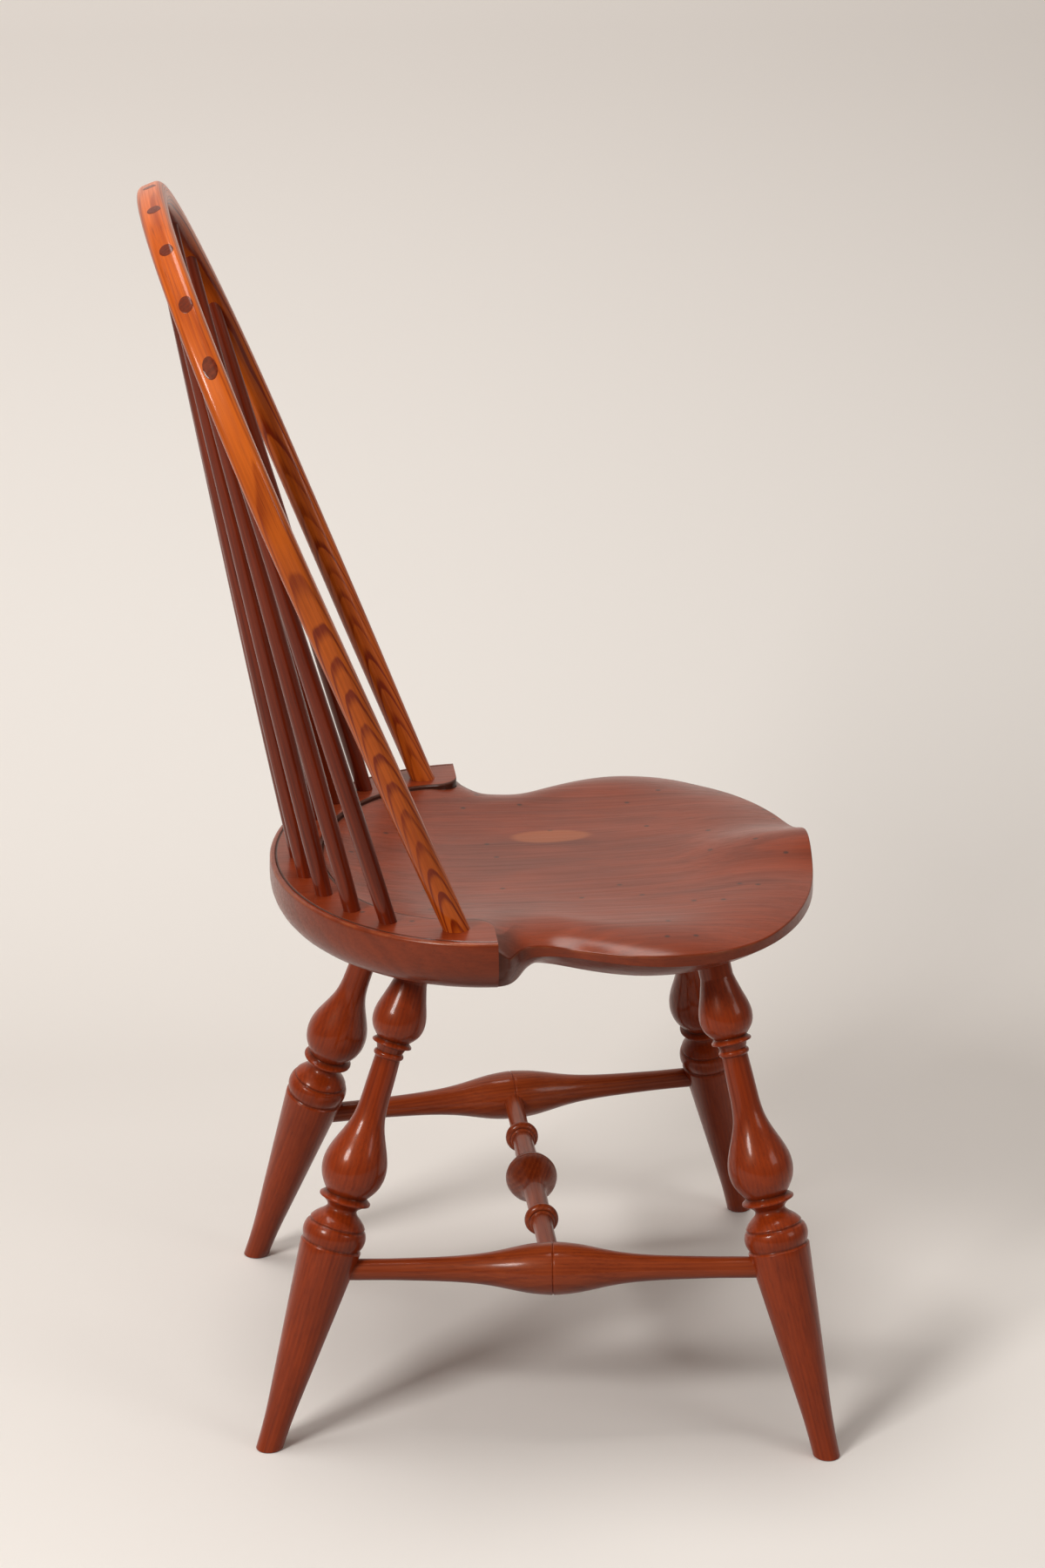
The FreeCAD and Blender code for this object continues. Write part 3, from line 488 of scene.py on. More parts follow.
def bow_frames(seat, bow, from_crown):
    """Centre points, upward, outward and backward directions of the bow at distances from the crown.

    Each side is straight, turns in a shoulder and ends in the crown, whose circle crosses the middle.
    """
    s = np.asarray(from_crown, float)
    reach = bow_half_length(bow) - np.abs(s)
    side = np.where(s >= 0.0, 1.0, -1.0)
    lean, radius = bow.side_lean, bow.shoulder_radius
    straight = np.minimum(reach, bow.side_length)
    across = bow.foot_half_spread + straight * math.sin(lean)
    up = straight * math.cos(lean)
    rest = np.maximum(0.0, reach - bow.side_length)
    bend = np.minimum(rest / radius, bow.shoulder_turn)
    across = across + radius * (np.cos(lean - bend) - math.cos(lean))
    up = up + radius * (math.sin(lean) - np.sin(lean - bend))
    end = lean - bow.shoulder_turn
    crown = bow.foot_half_spread + bow.side_length * math.sin(lean)
    crown = (crown + radius * (math.cos(end) - math.cos(lean))) / math.cos(end)
    more = np.maximum(0.0, rest - bow.shoulder_turn * radius) / crown
    across = across + crown * (np.cos(lean - bend - more) - np.cos(lean - bend))
    up = up + crown * (np.sin(lean - bend) - np.sin(lean - bend - more))
    heading = lean - bend - more
    x_axis = np.array([1.0, 0.0, 0.0])
    rake_up = np.array([0.0, math.sin(bow.rake), math.cos(bow.rake)])
    backward = np.array([0.0, math.cos(bow.rake), -math.sin(bow.rake)])
    foot = on_plank(seat, 0.0, bow.foot, 0.0)
    centre = foot + (side * across)[..., None] * x_axis + up[..., None] * rake_up
    upward = (side * np.sin(heading))[..., None] * x_axis + np.cos(heading)[..., None] * rake_up
    outward = (side * np.cos(heading))[..., None] * x_axis - np.sin(heading)[..., None] * rake_up
    return centre, upward, outward, backward


# Seat

SEAT_BACK_COLUMNS = 250
SEAT_FRONT_COLUMNS = 230
SADDLE_ROWS = 46
SADDLE_EDGE_ROWS = 14
RIM_ROWS = 12
SIDE_ROWS = 16
BOTTOM_ROWS = 5
UNDERSIDE_LIFT = 0.4
BACK_CROWDING = 0.86
FRONT_CROWDING = 0.6
STEP_RUN = 3.0
FRONT_TURN = math.radians(30.0)
FLANK_TURN = math.radians(14.0)
WAIST_TURN = math.radians(11.0)
HOLLOW_POWER = 2.5
CREST_POWER = 2.3
BACK_RISE = 0.86
FRONT_RISE = 0.55
FRONT_BLEND = 0.6
POMMEL_START = 0.5
BEYOND_RIM = 1.15
RIM_SMOOTHING = 20
LIP_GAP = 0.8
FRONT_BAND = 48.0
ARRIS_RUN = 1.2
ARRIS_DROP = 1.1
LEAST_SIDE = 5.0
UPRIGHT_SHARE = 0.3
SIDE_BULGE = 2.2
# Rows past the gutter's lip that are painted dark as shade in the groove
GUTTER_SHADE_ROWS = 13
# Share of stain and painted shade at the seat's waist, under the saddle's edge
WAIST_SHADE_AND_STAIN = 0.6
# Depth of the saddle's edge under the plank's top, at angles in degrees from +X about its middle, from
# the gutter's corner round to the front. Most of both rows is the output of a measuring script, rounded
# and in places adjusted by about a millimetre. They aren't sizes worked out here.
EDGE_ANGLES = (19.0, 9.2, 5.2, 0.0, -7.5, -14.2, -25.6, -36.4, -43.5, -52.6, -69.0)
EDGE_DEPTHS = (2.5, 8.0, 15.5, 18.9, 22.0, 21.0, 18.3, 19.0, 20.0, 18.5, 16.2)


def front_outline(seat):
    """Dense points of the saddle's edge on the +X side, from the deck's step to the pommel."""
    knots = [(seat.step_half_width + 0.4, seat.deck_front)]
    knots.append((seat.step_half_width, seat.deck_front - STEP_RUN))
    knots.append((mix(seat.waist_half_width, seat.step_half_width, 0.25),
                  mix(seat.waist, seat.deck_front, 0.45)))
    knots.append((seat.waist_half_width, seat.waist))
    knots.append((mix(seat.waist_half_width, seat.front_half_width, 0.48),
                  mix(seat.waist, seat.front_widest, 0.42)))
    knots.append((seat.front_half_width, seat.front_widest))
    swing = np.linspace(0.0, np.pi / 2.0, 120)
    ellipse = np.column_stack([seat.front_half_width * np.cos(swing),
                               seat.front_widest - seat.front_radius * np.sin(swing)])
    knots.append(tuple(ellipse[20]))
    flare = spline(knots, 240)
    flare = flare[flare[:, 1] > seat.front_widest]
    return np.concatenate([flare, ellipse])


def gutter_outline(seat):
    """Dense points of the gutter on the +X side, from the deck's front line to the middle of the back."""
    radius = seat.gutter_corner
    swing = np.linspace(-np.pi / 2.0, -np.pi, 60)
    corner = np.column_stack([seat.gutter_half_width + radius + radius * np.cos(swing),
                              seat.deck_front + radius + radius * np.sin(swing)])
    swing = np.linspace(0.0, np.pi / 2.0, 200)
    ellipse = np.column_stack([seat.gutter_half_width * np.cos(swing),
                               seat.deck_front + radius + seat.gutter_rear_radius * np.sin(swing)])
    return np.concatenate([corner, ellipse])


def polar_radius(points, centre_y, angles):
    """Distance from (0, centre_y) to an outline at each angle."""
    at = np.arctan2(points[:, 1] - centre_y, points[:, 0])
    reach = np.hypot(points[:, 0], points[:, 1] - centre_y)
    order = np.argsort(at)
    return np.interp(angles, at[order], reach[order])


def saddle_level(seat, x, y):
    """Height of the carved saddle under the plank's top face, as a negative number.

    The hollow is deepest in the middle, and rises with a power of the distance to the rim. Outside a
    crest it rolls down to the edge, whose depth is read from the measured table of angles. A narrow
    ridge, a bell curve across the front, rises to the pommel.
    """
    table = np.linspace(-np.pi / 2.0, np.pi / 2.0, 721)
    back = gutter_outline(seat)
    back = back[back[:, 1] > seat.deck_front + seat.gutter_corner]
    front = front_outline(seat)
    front = front[front[:, 1] < seat.waist + 2.0]
    window = np.hanning(2 * RIM_SMOOTHING + 1)
    window = window / window.sum()
    rim_table = polar_radius(np.concatenate([front, back]), seat.waist, table)
    rim_table = np.convolve(np.pad(rim_table, RIM_SMOOTHING, mode="reflect"), window, mode="valid")
    edge_table = np.interp(np.degrees(table), EDGE_ANGLES[::-1], EDGE_DEPTHS[::-1])
    edge_table = np.convolve(np.pad(edge_table, RIM_SMOOTHING, mode="reflect"), window, mode="valid")
    reach = np.hypot(x, y - seat.waist)
    angle = np.arctan2(y - seat.waist, np.abs(x))
    rim = np.interp(angle, table, rim_table)
    part = np.minimum(BEYOND_RIM, reach / rim)
    rim_y = seat.waist + rim * np.sin(angle)
    in_front = smooth((seat.front_widest - rim_y) / (FRONT_BLEND * seat.front_radius))
    rise = mix(BACK_RISE, FRONT_RISE, in_front)
    over = np.maximum(0.0, (part - seat.crest) / (1.0 - seat.crest))
    roll = np.interp(angle, table, edge_table) - seat.saddle_depth * (1.0 - rise)
    depth = seat.saddle_depth * (1.0 - rise * part ** HOLLOW_POWER) + roll * over ** CREST_POWER
    ridge = np.exp(-((x / seat.pommel_half_width) ** 2)) * in_front
    ridge = ridge * smooth((part - POMMEL_START) / (1.0 - POMMEL_START))
    return -np.maximum(0.0, depth * (1.0 - ridge))


def crowd_ends(count, amount):
    """Values from 0 to 1 that crowd together at both ends: u less a share of a full sine wave."""
    u = np.linspace(0.0, 1.0, count + 1)
    return u - amount * np.sin(2.0 * np.pi * u) / (2.0 * np.pi)


def seat_surface(seat):
    """Grid of the seat in the plank's own frame, with the layers for its material.

    Rows run from the middle of the saddle outwards, over the edge and back under the seat. Columns
    are rays from the middle of the deck's front line. Two of them lie in that line, and there the
    grid has both the section of the deck and that of the front part, so that the faces between the
    two sections are the deck's upright front faces.
    """
    back_angle = np.pi * crowd_ends(SEAT_BACK_COLUMNS, BACK_CROWDING)
    front_angle = np.pi * (1.0 + crowd_ends(SEAT_FRONT_COLUMNS, FRONT_CROWDING))
    centre_y = seat.deck_front
    bottom = -seat.thickness + UNDERSIDE_LIFT

    def place(angle, radius):
        return radius * np.cos(angle), centre_y + radius * np.sin(angle)

    # Back: saddle, gutter, deck, edge
    fold = np.arctan2(np.sin(back_angle), np.abs(np.cos(back_angle)))
    inner = polar_radius(gutter_outline(seat), centre_y, fold)
    lift = math.asin((seat.deck_front - seat.deck_widest) / seat.deck_rear_radius)
    swing = np.linspace(lift, np.pi / 2.0, 300)
    rim_points = np.column_stack([seat.deck_half_width * np.cos(swing),
                                  seat.deck_widest + seat.deck_rear_radius * np.sin(swing)])
    outer = polar_radius(rim_points, centre_y, fold)
    share_a = np.linspace(0.0, 1.0, SADDLE_ROWS + 1)[1:]
    radius_a = share_a[:, None] * (inner - LIP_GAP)[None, :]
    level_a = saddle_level(seat, *place(back_angle, radius_a))
    foot = level_a[-1]
    k = np.linspace(0.0, 1.0, SADDLE_EDGE_ROWS)
    run_b = np.interp(k, [0.0, 0.12, 0.24, 0.7, 0.85, 1.0], [-0.4, 0.1, 0.5, 1.0, 2.2, 4.4])
    dip_b = np.interp(k, [0.0, 0.12, 0.24], [0.35, 0.9, 0.5])
    climb = np.interp(k, [0.0, 0.24, 0.7, 0.85, 1.0], [0.0, 0.04, 0.93, 1.0, 1.0])
    round_b = np.interp(k, [0.7, 0.85, 1.0], [0.8, 0.3, 0.0])
    radius_b = inner[None, :] + run_b[:, None]
    level_b = mix(foot[None, :], 0.0, climb[:, None]) - (dip_b * (k < 0.5))[:, None]
    level_b = level_b - (round_b * (k > 0.6))[:, None]
    scribe = seat.scribe_inset
    insets = scribe + np.array([2.0, 1.3, 0.7, 0.0, -0.7, -1.3])
    cuts = np.array([0.0, 0.0, 0.4, 0.7, 0.4, 0.0])
    even = RIM_ROWS - len(insets)
    k = np.linspace(0.0, 1.0, even + 2)[1:-1]
    first = radius_b[-1]
    far = outer - insets[0]
    plain = first[None, :] + k[:, None] * (far - first)[None, :]
    radius_c = np.concatenate([plain, outer[None, :] - insets[:, None]])
    level_c = np.concatenate([np.zeros_like(plain), np.repeat(-cuts[:, None], len(outer), axis=1)])
    swing = np.linspace(0.0, np.pi / 2.0, 6)
    curve_in = seat.deck_rounding * (1.0 - np.sin(swing))
    curve_z = -seat.deck_rounding * (1.0 - np.cos(swing))
    side_z = [-seat.deck_rounding, -0.5 * seat.deck_side, -seat.deck_side, -0.78 * seat.thickness, bottom]
    side_in = [0.0, -0.4, 0.6, 7.0, seat.deck_bottom_inset]
    side = spline(np.column_stack([side_in, side_z]), SIDE_ROWS - len(swing) + 2)[1:]
    edge_in = np.concatenate([curve_in, side[:, 0]])
    edge_z = np.concatenate([curve_z, side[:, 1]])
    radius_d = outer[None, :] - edge_in[:, None]
    level_d = np.repeat(edge_z[:, None], len(outer), axis=1)
    corner_bottom = radius_d[-1, 0]
    k = np.linspace(1.0, 0.0, BOTTOM_ROWS + 1)[1:-1]
    radius_e = k[:, None] * radius_d[-1][None, :]
    level_e = np.full_like(radius_e, bottom)
    radius = np.concatenate([radius_a, radius_b, radius_c, radius_d, radius_e])
    level = np.concatenate([level_a, level_b, level_c, level_d, level_e])
    x, y = place(back_angle, radius)
    back = np.stack([x, y, level], axis=-1)
    counts = [len(part) for part in (radius_a, radius_b, radius_c, radius_d, radius_e)]
    # Painted shade in the gutter and in the scribed line
    shade_and_stain = np.zeros(radius.shape)
    lip = counts[0]
    shade_and_stain[lip:lip + GUTTER_SHADE_ROWS] = 1.0
    shade_and_stain[lip - 1] = 0.5
    scribed = counts[0] + counts[1] + counts[2] - len(insets)
    shade_and_stain[scribed + 2:scribed + 5] = 1.0
    # Painted highlight, with scuffing, along the deck's upper edge
    wear_and_highlight = np.zeros(radius.shape)
    rim = counts[0] + counts[1] + counts[2]
    wear_and_highlight[rim + 2:rim + 4] = 0.6

    # Front: saddle, crest, arris, side and bevel
    fold = np.arctan2(np.sin(front_angle), np.abs(np.cos(front_angle)))
    outer = polar_radius(front_outline(seat), centre_y, fold)
    from_line = smooth(-fold / FRONT_TURN)
    start = outer - mix(outer[0] - inner[0] + LIP_GAP, FRONT_BAND, from_line)
    radius_a = share_a[:, None] * start[None, :]
    k = np.linspace(0.0, 1.0, SADDLE_EDGE_ROWS + 1)[1:]
    k = 1.0 - (1.0 - k) ** 1.3
    radius_b = start[None, :] + k[:, None] * (outer - ARRIS_RUN - start)[None, :]
    top = np.concatenate([radius_a, radius_b])
    level_top = saddle_level(seat, *place(front_angle, top))
    # Height of the saddle where it meets the side
    arris = saddle_level(seat, *place(front_angle, outer[None, :]))[0]
    k = np.linspace(0.0, 1.0, RIM_ROWS)
    curve = np.pi / 2.0 * k
    radius_c = outer[None, :] - ARRIS_RUN * (1.0 - np.sin(curve))[:, None]
    level_c = arris[None, :] + (level_top[-1] - arris)[None, :] * (1.0 - k)[:, None]
    level_c = level_c - ARRIS_DROP * (1.0 - np.cos(curve))[:, None]
    k = np.linspace(0.0, 1.0, counts[3] + 1)[1:]
    low = np.minimum(-seat.arris_depth, level_c[-1] - LEAST_SIDE)
    end_radius = mix(corner_bottom, outer - seat.bevel, smooth(-fold / FLANK_TURN))
    upright = np.clip(k / UPRIGHT_SHARE, 0.0, 1.0)
    sloped = np.clip((k - UPRIGHT_SHARE) / (1.0 - UPRIGHT_SHARE), 0.0, 1.0)
    radius_d = outer[None, :] - sloped[:, None] * (outer - end_radius)[None, :]
    level_d = level_c[-1][None, :] + upright[:, None] * (low - level_c[-1])[None, :]
    level_d = level_d + sloped[:, None] * (bottom - low)[None, :]
    radius_d = radius_d + SIDE_BULGE * np.sin(np.pi * sloped)[:, None]
    k = np.linspace(1.0, 0.0, BOTTOM_ROWS + 1)[1:-1]
    radius_e = k[:, None] * radius_d[-1][None, :]
    level_e = np.full_like(radius_e, bottom)
    radius = np.concatenate([top, radius_c, radius_d, radius_e])
    level = np.concatenate([level_top, level_c, level_d, level_e])
    x, y = place(front_angle, radius)
    front = np.stack([x, y, level], axis=-1)
    # Stain and painted shade round the waist, from the saddle's edge down the side
    front_shade_and_stain = np.zeros(radius.shape)
    in_waist = 1.0 - smooth(-fold / WAIST_TURN)
    front_shade_and_stain[len(radius_a):] = WAIST_SHADE_AND_STAIN * in_waist
    # Painted highlight, with scuffing, along the arris
    front_wear_and_highlight = np.zeros(radius.shape)
    front_wear_and_highlight[rim - 4:rim] = 0.5

    grid = np.concatenate([back, front], axis=1)
    layers = {"shade_and_stain": np.concatenate([shade_and_stain, front_shade_and_stain], axis=1)[..., None],
              "wear_and_highlight": np.concatenate([wear_and_highlight, front_wear_and_highlight], axis=1)[..., None]}
    return grid, layers


class CHAIR_OT_carved_seat(Operator):
    """Make the carved seat"""
    bl_idname = "chair.carved_seat"
    bl_label = "Carved Seat"

    def execute(self, context):
        seat = sizes(context.scene.chair_seat)
        finish = context.scene.chair_finish
        grid, layers = seat_surface(seat)
        layers["grain"] = grid[..., [0, 2, 1]] * METRES
        layers["lay"] = 0.035 * grid[..., 1:2] * METRES
        placed = on_plank(seat, grid[..., 0], grid[..., 1], grid[..., 2])
        mesh = grid_mesh("carved_seat", placed, layers)
        merge_doubles(mesh)
        material = wood("seat_wood", finish.seat_light, finish.seat_dark, finish.shade_and_stain, finish.pale_and_highlight,
                        pith=(0.03, -0.16), ring=0.0105, ring_amount=0.26, streak_amount=0.22,
                        pore_amount=0.3, roughness=0.4, coat=0.4, coat_roughness=0.2, specks=True)
        add_piece("carved_seat", mesh, material, "seat", 32.0)
        return {"FINISHED"}


# Bow

BOW_COLUMNS = 72
BOW_ROW_SPACING = 3.0
# How far the flat lies inside the bow's half width, and how far the section reaches past it
FACE_SCRAPE = 0.35
FACE_REACH = 0.1
FACE_POWER = 3.0
PLANED_SOFTNESS = 0.12
SQUARE_START = 0.55
SQUARE_RUN = 0.45
COLUMN_CROWDING = 0.12
FOOT_ROW = 10.0
FOOT_LIFT = 0.15
GRAIN_SLOPE = 0.012
GRAIN_BEND = 0.085
BEND_START = 0.38
BEND_RUN = 0.3


def bow_surface(seat, bow):
    """Grid of the bow: a section carried along its centre line, from the right foot to the left.

    The section is a superellipse whose power goes from 2, a circle, to 3, a rounded square, while its
    half width grows past the flat of the outer face. What stands over that flat is planed off, so the
    flat begins in a point.
    """
    half = bow_half_length(bow)
    upward = bow_frames(seat, bow, half)[1]
    below = seat.thickness / abs(upward @ plank_up(seat))
    count = 2 * int(half / BOW_ROW_SPACING) + 1
    s = np.linspace(-half, half, count)
    end = half + below
    s = np.concatenate([[-end, -end + FOOT_ROW], s, [end - FOOT_ROW, end]])
    reach = np.maximum(0.0, half - np.abs(s))
    square = smooth((reach / bow.round_length - SQUARE_START) / SQUARE_RUN)
    grow = smooth(2.0 * reach / bow.round_length)
    power = mix(2.0, FACE_POWER, square)[:, None]
    flat = bow.width / 2.0 - FACE_SCRAPE
    half_width = (mix(bow.foot_diameter, bow.width, grow) / 2.0 + FACE_REACH * square)[:, None]
    half_depth = (mix(bow.foot_diameter, bow.depth, grow) / 2.0)[:, None]
    angles = np.linspace(0.0, 2.0 * np.pi, BOW_COLUMNS, endpoint=False)
    angles = angles - COLUMN_CROWDING * np.sin(4.0 * angles)
    cosine, sine = np.cos(angles)[None, :], np.sin(angles)[None, :]
    across = half_width * np.sign(cosine) * np.abs(cosine) ** (2.0 / power)
    back = half_depth * np.sign(sine) * np.abs(sine) ** (2.0 / power)
    across = across - PLANED_SOFTNESS * np.logaddexp(0.0, (across - flat) / PLANED_SOFTNESS)
    centre, upward, outward, backward = bow_frames(seat, bow, s)
    grid = centre[:, None, :] + across[..., None] * outward[:, None, :] + back[..., None] * backward
    underside = on_plank(seat, 0.0, 0.0, -seat.thickness + FOOT_LIFT)
    for row in (0, -1):
        grid[row] = slide_to_plane(grid[row], upward[row], underside, plank_up(seat))
    grain = np.empty(grid.shape)
    grain[..., 0] = across
    grain[..., 1] = back
    grain[..., 2] = s[:, None]
    slope = GRAIN_SLOPE + GRAIN_BEND * smooth((np.abs(s) - BEND_START * half) / (BEND_RUN * half))
    middle_slope = (slope[1:] + slope[:-1]) / 2.0
    lay = np.concatenate([[0.0], np.cumsum(middle_slope * np.diff(s))])
    lay = np.repeat((lay - lay[count // 2])[:, None], BOW_COLUMNS, axis=1)
    return grid, grain, lay


class CHAIR_OT_bent_bow(Operator):
    """Make the bent bow, and finish the wedges in its feet"""
    bl_idname = "chair.bent_bow"
    bl_label = "Bent Bow"

    def execute(self, context):
        seat = sizes(context.scene.chair_seat)
        finish = context.scene.chair_finish
        grid, grain, lay = bow_surface(seat, sizes(context.scene.chair_bow))
        flat = np.zeros(grid.shape[:2] + (1,))
        layers = {"grain": grain * METRES, "lay": lay[..., None] * METRES, "shade_and_stain": flat, "wear_and_highlight": flat}
        mesh = grid_mesh("bent_bow", grid, layers)
        material = wood("bow_wood", finish.bow_light, finish.bow_dark, finish.shade_and_stain, finish.pale_and_highlight,
                        pith=(-0.4, 0.03), ring=0.0026, ring_amount=0.95, streak_amount=0.3,
                        pore_amount=0.5, roughness=0.36, coat=0.35, coat_roughness=0.12, ring_sharp=True)
        add_piece("bent_bow", mesh, material, "bow")
        bare = bare_wood("wedge_wood", finish.bare_light, finish.bare_dark)
        for name, _ in SIDES:
            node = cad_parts["bow_wedge_" + name]
            node.data.materials.clear()
            node.data.materials.append(bare)
        return {"FINISHED"}


# Spindles

SPINDLE_COLUMNS = 36
END_STEPS = 8
END_WIDTHS = np.array([1.0, 0.97, 0.8, 0.6, 0.4, 0.2, 0.03])
END_PROUD = 0.05
END_EDGE_SUNK = -0.1
END_STAIN = 0.35
SPINDLE_MIDDLE = 0.6
SEARCH_DEPTHS = 4.0
SEARCH_POINTS = 801


def above_bow_face(seat, bow, points, from_crown):
    """Height of points over the bow's outer face, and the face's outward direction at each.

    Each point is measured in the section of the bow that is nearest to it. The face there is the flat,
    or the superellipse of the section where that lies lower.
    """
    reach = SEARCH_DEPTHS * bow.depth
    along = from_crown + np.linspace(-reach, reach, SEARCH_POINTS)
    centre, _, outward, backward = bow_frames(seat, bow, along)
    nearest = np.argmin(((points[:, None, :] - centre[None, :, :]) ** 2).sum(axis=2), axis=1)
    outward = outward[nearest]
    offset = points - centre[nearest]
    back = np.clip(np.abs(offset @ backward) / (bow.depth / 2.0), 0.0, 1.0)
    curve = (bow.width / 2.0 + FACE_REACH) * (1.0 - back ** FACE_POWER) ** (1.0 / FACE_POWER)
    face = np.minimum(bow.width / 2.0 - FACE_SCRAPE, curve)
    return (offset * outward).sum(axis=1) - face, outward


def spindle_surface(seat, bow, spindles, index):
    """Grid of a spindle, round its line from a socket in the deck to the bow's outer face."""
    angle = index * spindles.base_step
    x = spindles.base_half_width * math.sin(angle)
    y = spindles.base_centre + spindles.base_rear_radius * math.cos(angle)
    base = on_plank(seat, x, y, 0.0)
    top = bow_frames(seat, bow, index * spindles.top_spacing)[0]
    clear = np.linalg.norm(top - base)
    direction = (top - base) / clear
    socket = spindles.socket_depth
    outline = [(0.0, spindles.foot_diameter), ("line", [(socket, spindles.foot_diameter)])]
    swell = (socket + spindles.swell_height, spindles.swell_diameter)
    middle = (socket + SPINDLE_MIDDLE * clear, mix(spindles.top_diameter, spindles.swell_diameter, 0.5))
    straight = (socket + clear - spindles.top_straight, spindles.top_diameter)
    outline.append(("curve", [swell, middle, straight]))
    outline.append(("line", [(socket + clear, spindles.top_diameter)]))
    rows = turning(outline)
    rings = len(END_WIDTHS)
    end = np.repeat(rows[-1:], rings, axis=0)
    end[:, 1] *= END_WIDTHS
    rows = np.concatenate([rows[:-1], end])
    grid, grain = revolve(rows, base - direction * socket, direction, SPINDLE_COLUMNS)
    rims = grid[-rings:].reshape(-1, 3)
    proud = np.repeat(np.where(END_WIDTHS < 1.0, END_PROUD, END_EDGE_SUNK), SPINDLE_COLUMNS)
    for _ in range(END_STEPS):
        height, facing = above_bow_face(seat, bow, rims, index * spindles.top_spacing)
        rims = rims + direction * ((proud - height) / (facing @ direction))[:, None]
    grid[-rings:] = rims.reshape(rings, SPINDLE_COLUMNS, 3)
    # Painted shade in the grooves, and the darker end grain on the spindle's end
    shade_and_stain = np.repeat(rows[:, 2:3], SPINDLE_COLUMNS, axis=1)
    shade_and_stain[-rings:] = END_STAIN
    return grid, grain, shade_and_stain


class CHAIR_OT_shaved_spindles(Operator):
    """Make the spindles between the deck and the bow"""
    bl_idname = "chair.shaved_spindles"
    bl_label = "Shaved Spindles"

    def execute(self, context):
        scene = context.scene
        seat, bow, spindles = sizes(scene.chair_seat), sizes(scene.chair_bow), sizes(scene.chair_spindles)
        finish = scene.chair_finish
        material = wood("spindle_wood", finish.spindle_light, finish.spindle_dark, finish.shade_and_stain, finish.pale_and_highlight,
                        pith=(0.12, 0.05), ring=0.0026, ring_amount=0.45, streak_amount=0.4,
                        pore_amount=0.35, roughness=0.34, coat=0.35, coat_roughness=0.12)
        for index in range(-spindles.per_side, spindles.per_side + 1):
            name = "middle"
            if index:
                name = "%s_%d" % ("left" if index > 0 else "right", abs(index))
            grid, grain, shade_and_stain = spindle_surface(seat, bow, spindles, index)
            add_turned(grid, grain, shade_and_stain, "shaved_spindle_" + name, material, "spindle_" + name,
                       offset=0.41 * (index + 7), slope=0.004 * (index % 3 + 1))
        return {"FINISHED"}


def add_turned(grid, grain, shade_and_stain, name, material, node, offset, slope):
    """Piece of a turned or shaved grid. The offset and slope give each one its own grain."""
    shifted = grain * METRES + np.array([0.0, 0.0, offset])
    layers = {"grain": shifted, "lay": slope * shifted[..., 2:3], "shade_and_stain": shade_and_stain[..., None],
              "wear_and_highlight": np.zeros(grid.shape[:2] + (1,))}
    mesh = grid_mesh(name, grid, layers)
    return add_piece(name, mesh, material, node)


# Legs

LEG_COLUMNS = 84
FOOT_CHAMFER = 0.9
FOOT_PLAIN = 9.0


def leg_outline(legs, reach):
    """Outline of a turned leg, from the floor to its tenon in the seat.

    Each member of the turning is given by its rise over the one before and its diameter.
    """
    at = 0.0
    outline = [(0.0, legs.foot_diameter)]

    def rise(height):
        nonlocal at
        at += height
        return at

    outline.append(("arc", [(23.0, mix(legs.foot_diameter, 25.8, 0.28)), (rise(46.0), 25.8)]))
    outline.append(("line", [(rise(128.0), legs.taper_diameter)]))
    outline.append(("line", [(rise(1.7), legs.taper_diameter - 3.2)]))
    ring_edge = legs.ring_diameter - 3.2
    outline.append(("line", [(rise(1.7), ring_edge)]))
    outline.append(("arc", [(rise(6.5), legs.ring_diameter), (rise(6.5), ring_edge)]))
    outline.append(("line", [(rise(1.7), 43.6)]))
    outline.append(("line", [(rise(1.7), 45.2)]))
    outline.append(("curve", [(rise(4.8), 37.2), (rise(7.0), 24.2), (rise(6.6), 36.4)]))
    outline.append(("line", [(rise(0.8), 41.6)]))
    outline.append(("line", [(rise(1.6), 41.6)]))
    outline.append(("line", [(rise(3.2), 33.0)]))
    bulb = legs.bulb_diameter
    neck = legs.neck_diameter
    outline.append(("curve", [(rise(10.75), mix(33.0, bulb, 0.76)), (rise(14.85), bulb),
                              (rise(16.2), mix(27.0, bulb, 0.62)), (rise(19.8), 27.0),
                              (rise(27.0), mix(neck, 27.0, 0.25)), (rise(27.0), neck)]))
    outline.append(("arc", [(rise(2.5), 24.4), (rise(2.5), neck)]))
    outline.append(("line", [(rise(5.2), mix(neck, 32.0, 0.35))]))
    outline.append(("line", [(rise(0.7), 32.0)]))
    outline.append(("line", [(rise(1.4), 32.0)]))
    outline.append(("line", [(rise(2.6), 26.0)]))
    bulb = legs.upper_bulb_diameter
    outline.append(("curve", [(rise(8.0), mix(26.0, bulb, 0.78)), (rise(11.0), bulb),
                              (rise(15.0), mix(legs.top_diameter, bulb, 0.52)),
                              (rise(15.0), legs.top_diameter)]))
    outline.append(("line", [(reach + legs.tenon, legs.top_diameter)]))
    return outline


def leg_surface(seat, legs, front, side):
    """Grid of a leg, turned about its line, with a chamfered foot cut level with the floor."""
    foot, socket = leg_line(seat, legs, front, side)
    reach = np.linalg.norm(socket - foot)
    direction = (socket - foot) / reach
    rows = turning(leg_outline(legs, reach))
    above = rows[rows[:, 0] > FOOT_PLAIN]
    radius = legs.foot_diameter / 2.0
    rows = np.concatenate([[[0.0, radius - FOOT_CHAMFER, 0.0], [0.0, radius, 0.0]], above])
    grid, grain = revolve(rows, foot, direction, LEG_COLUMNS)
    up = np.array([0.0, 0.0, 1.0])
    for row in (0, 1):
        grid[row] = slide_to_plane(grid[row], direction, up * row * FOOT_CHAMFER, up)
    # Groove depths, for the painted shade in the grooves
    return grid, grain, np.repeat(rows[:, 2:3], LEG_COLUMNS, axis=1)


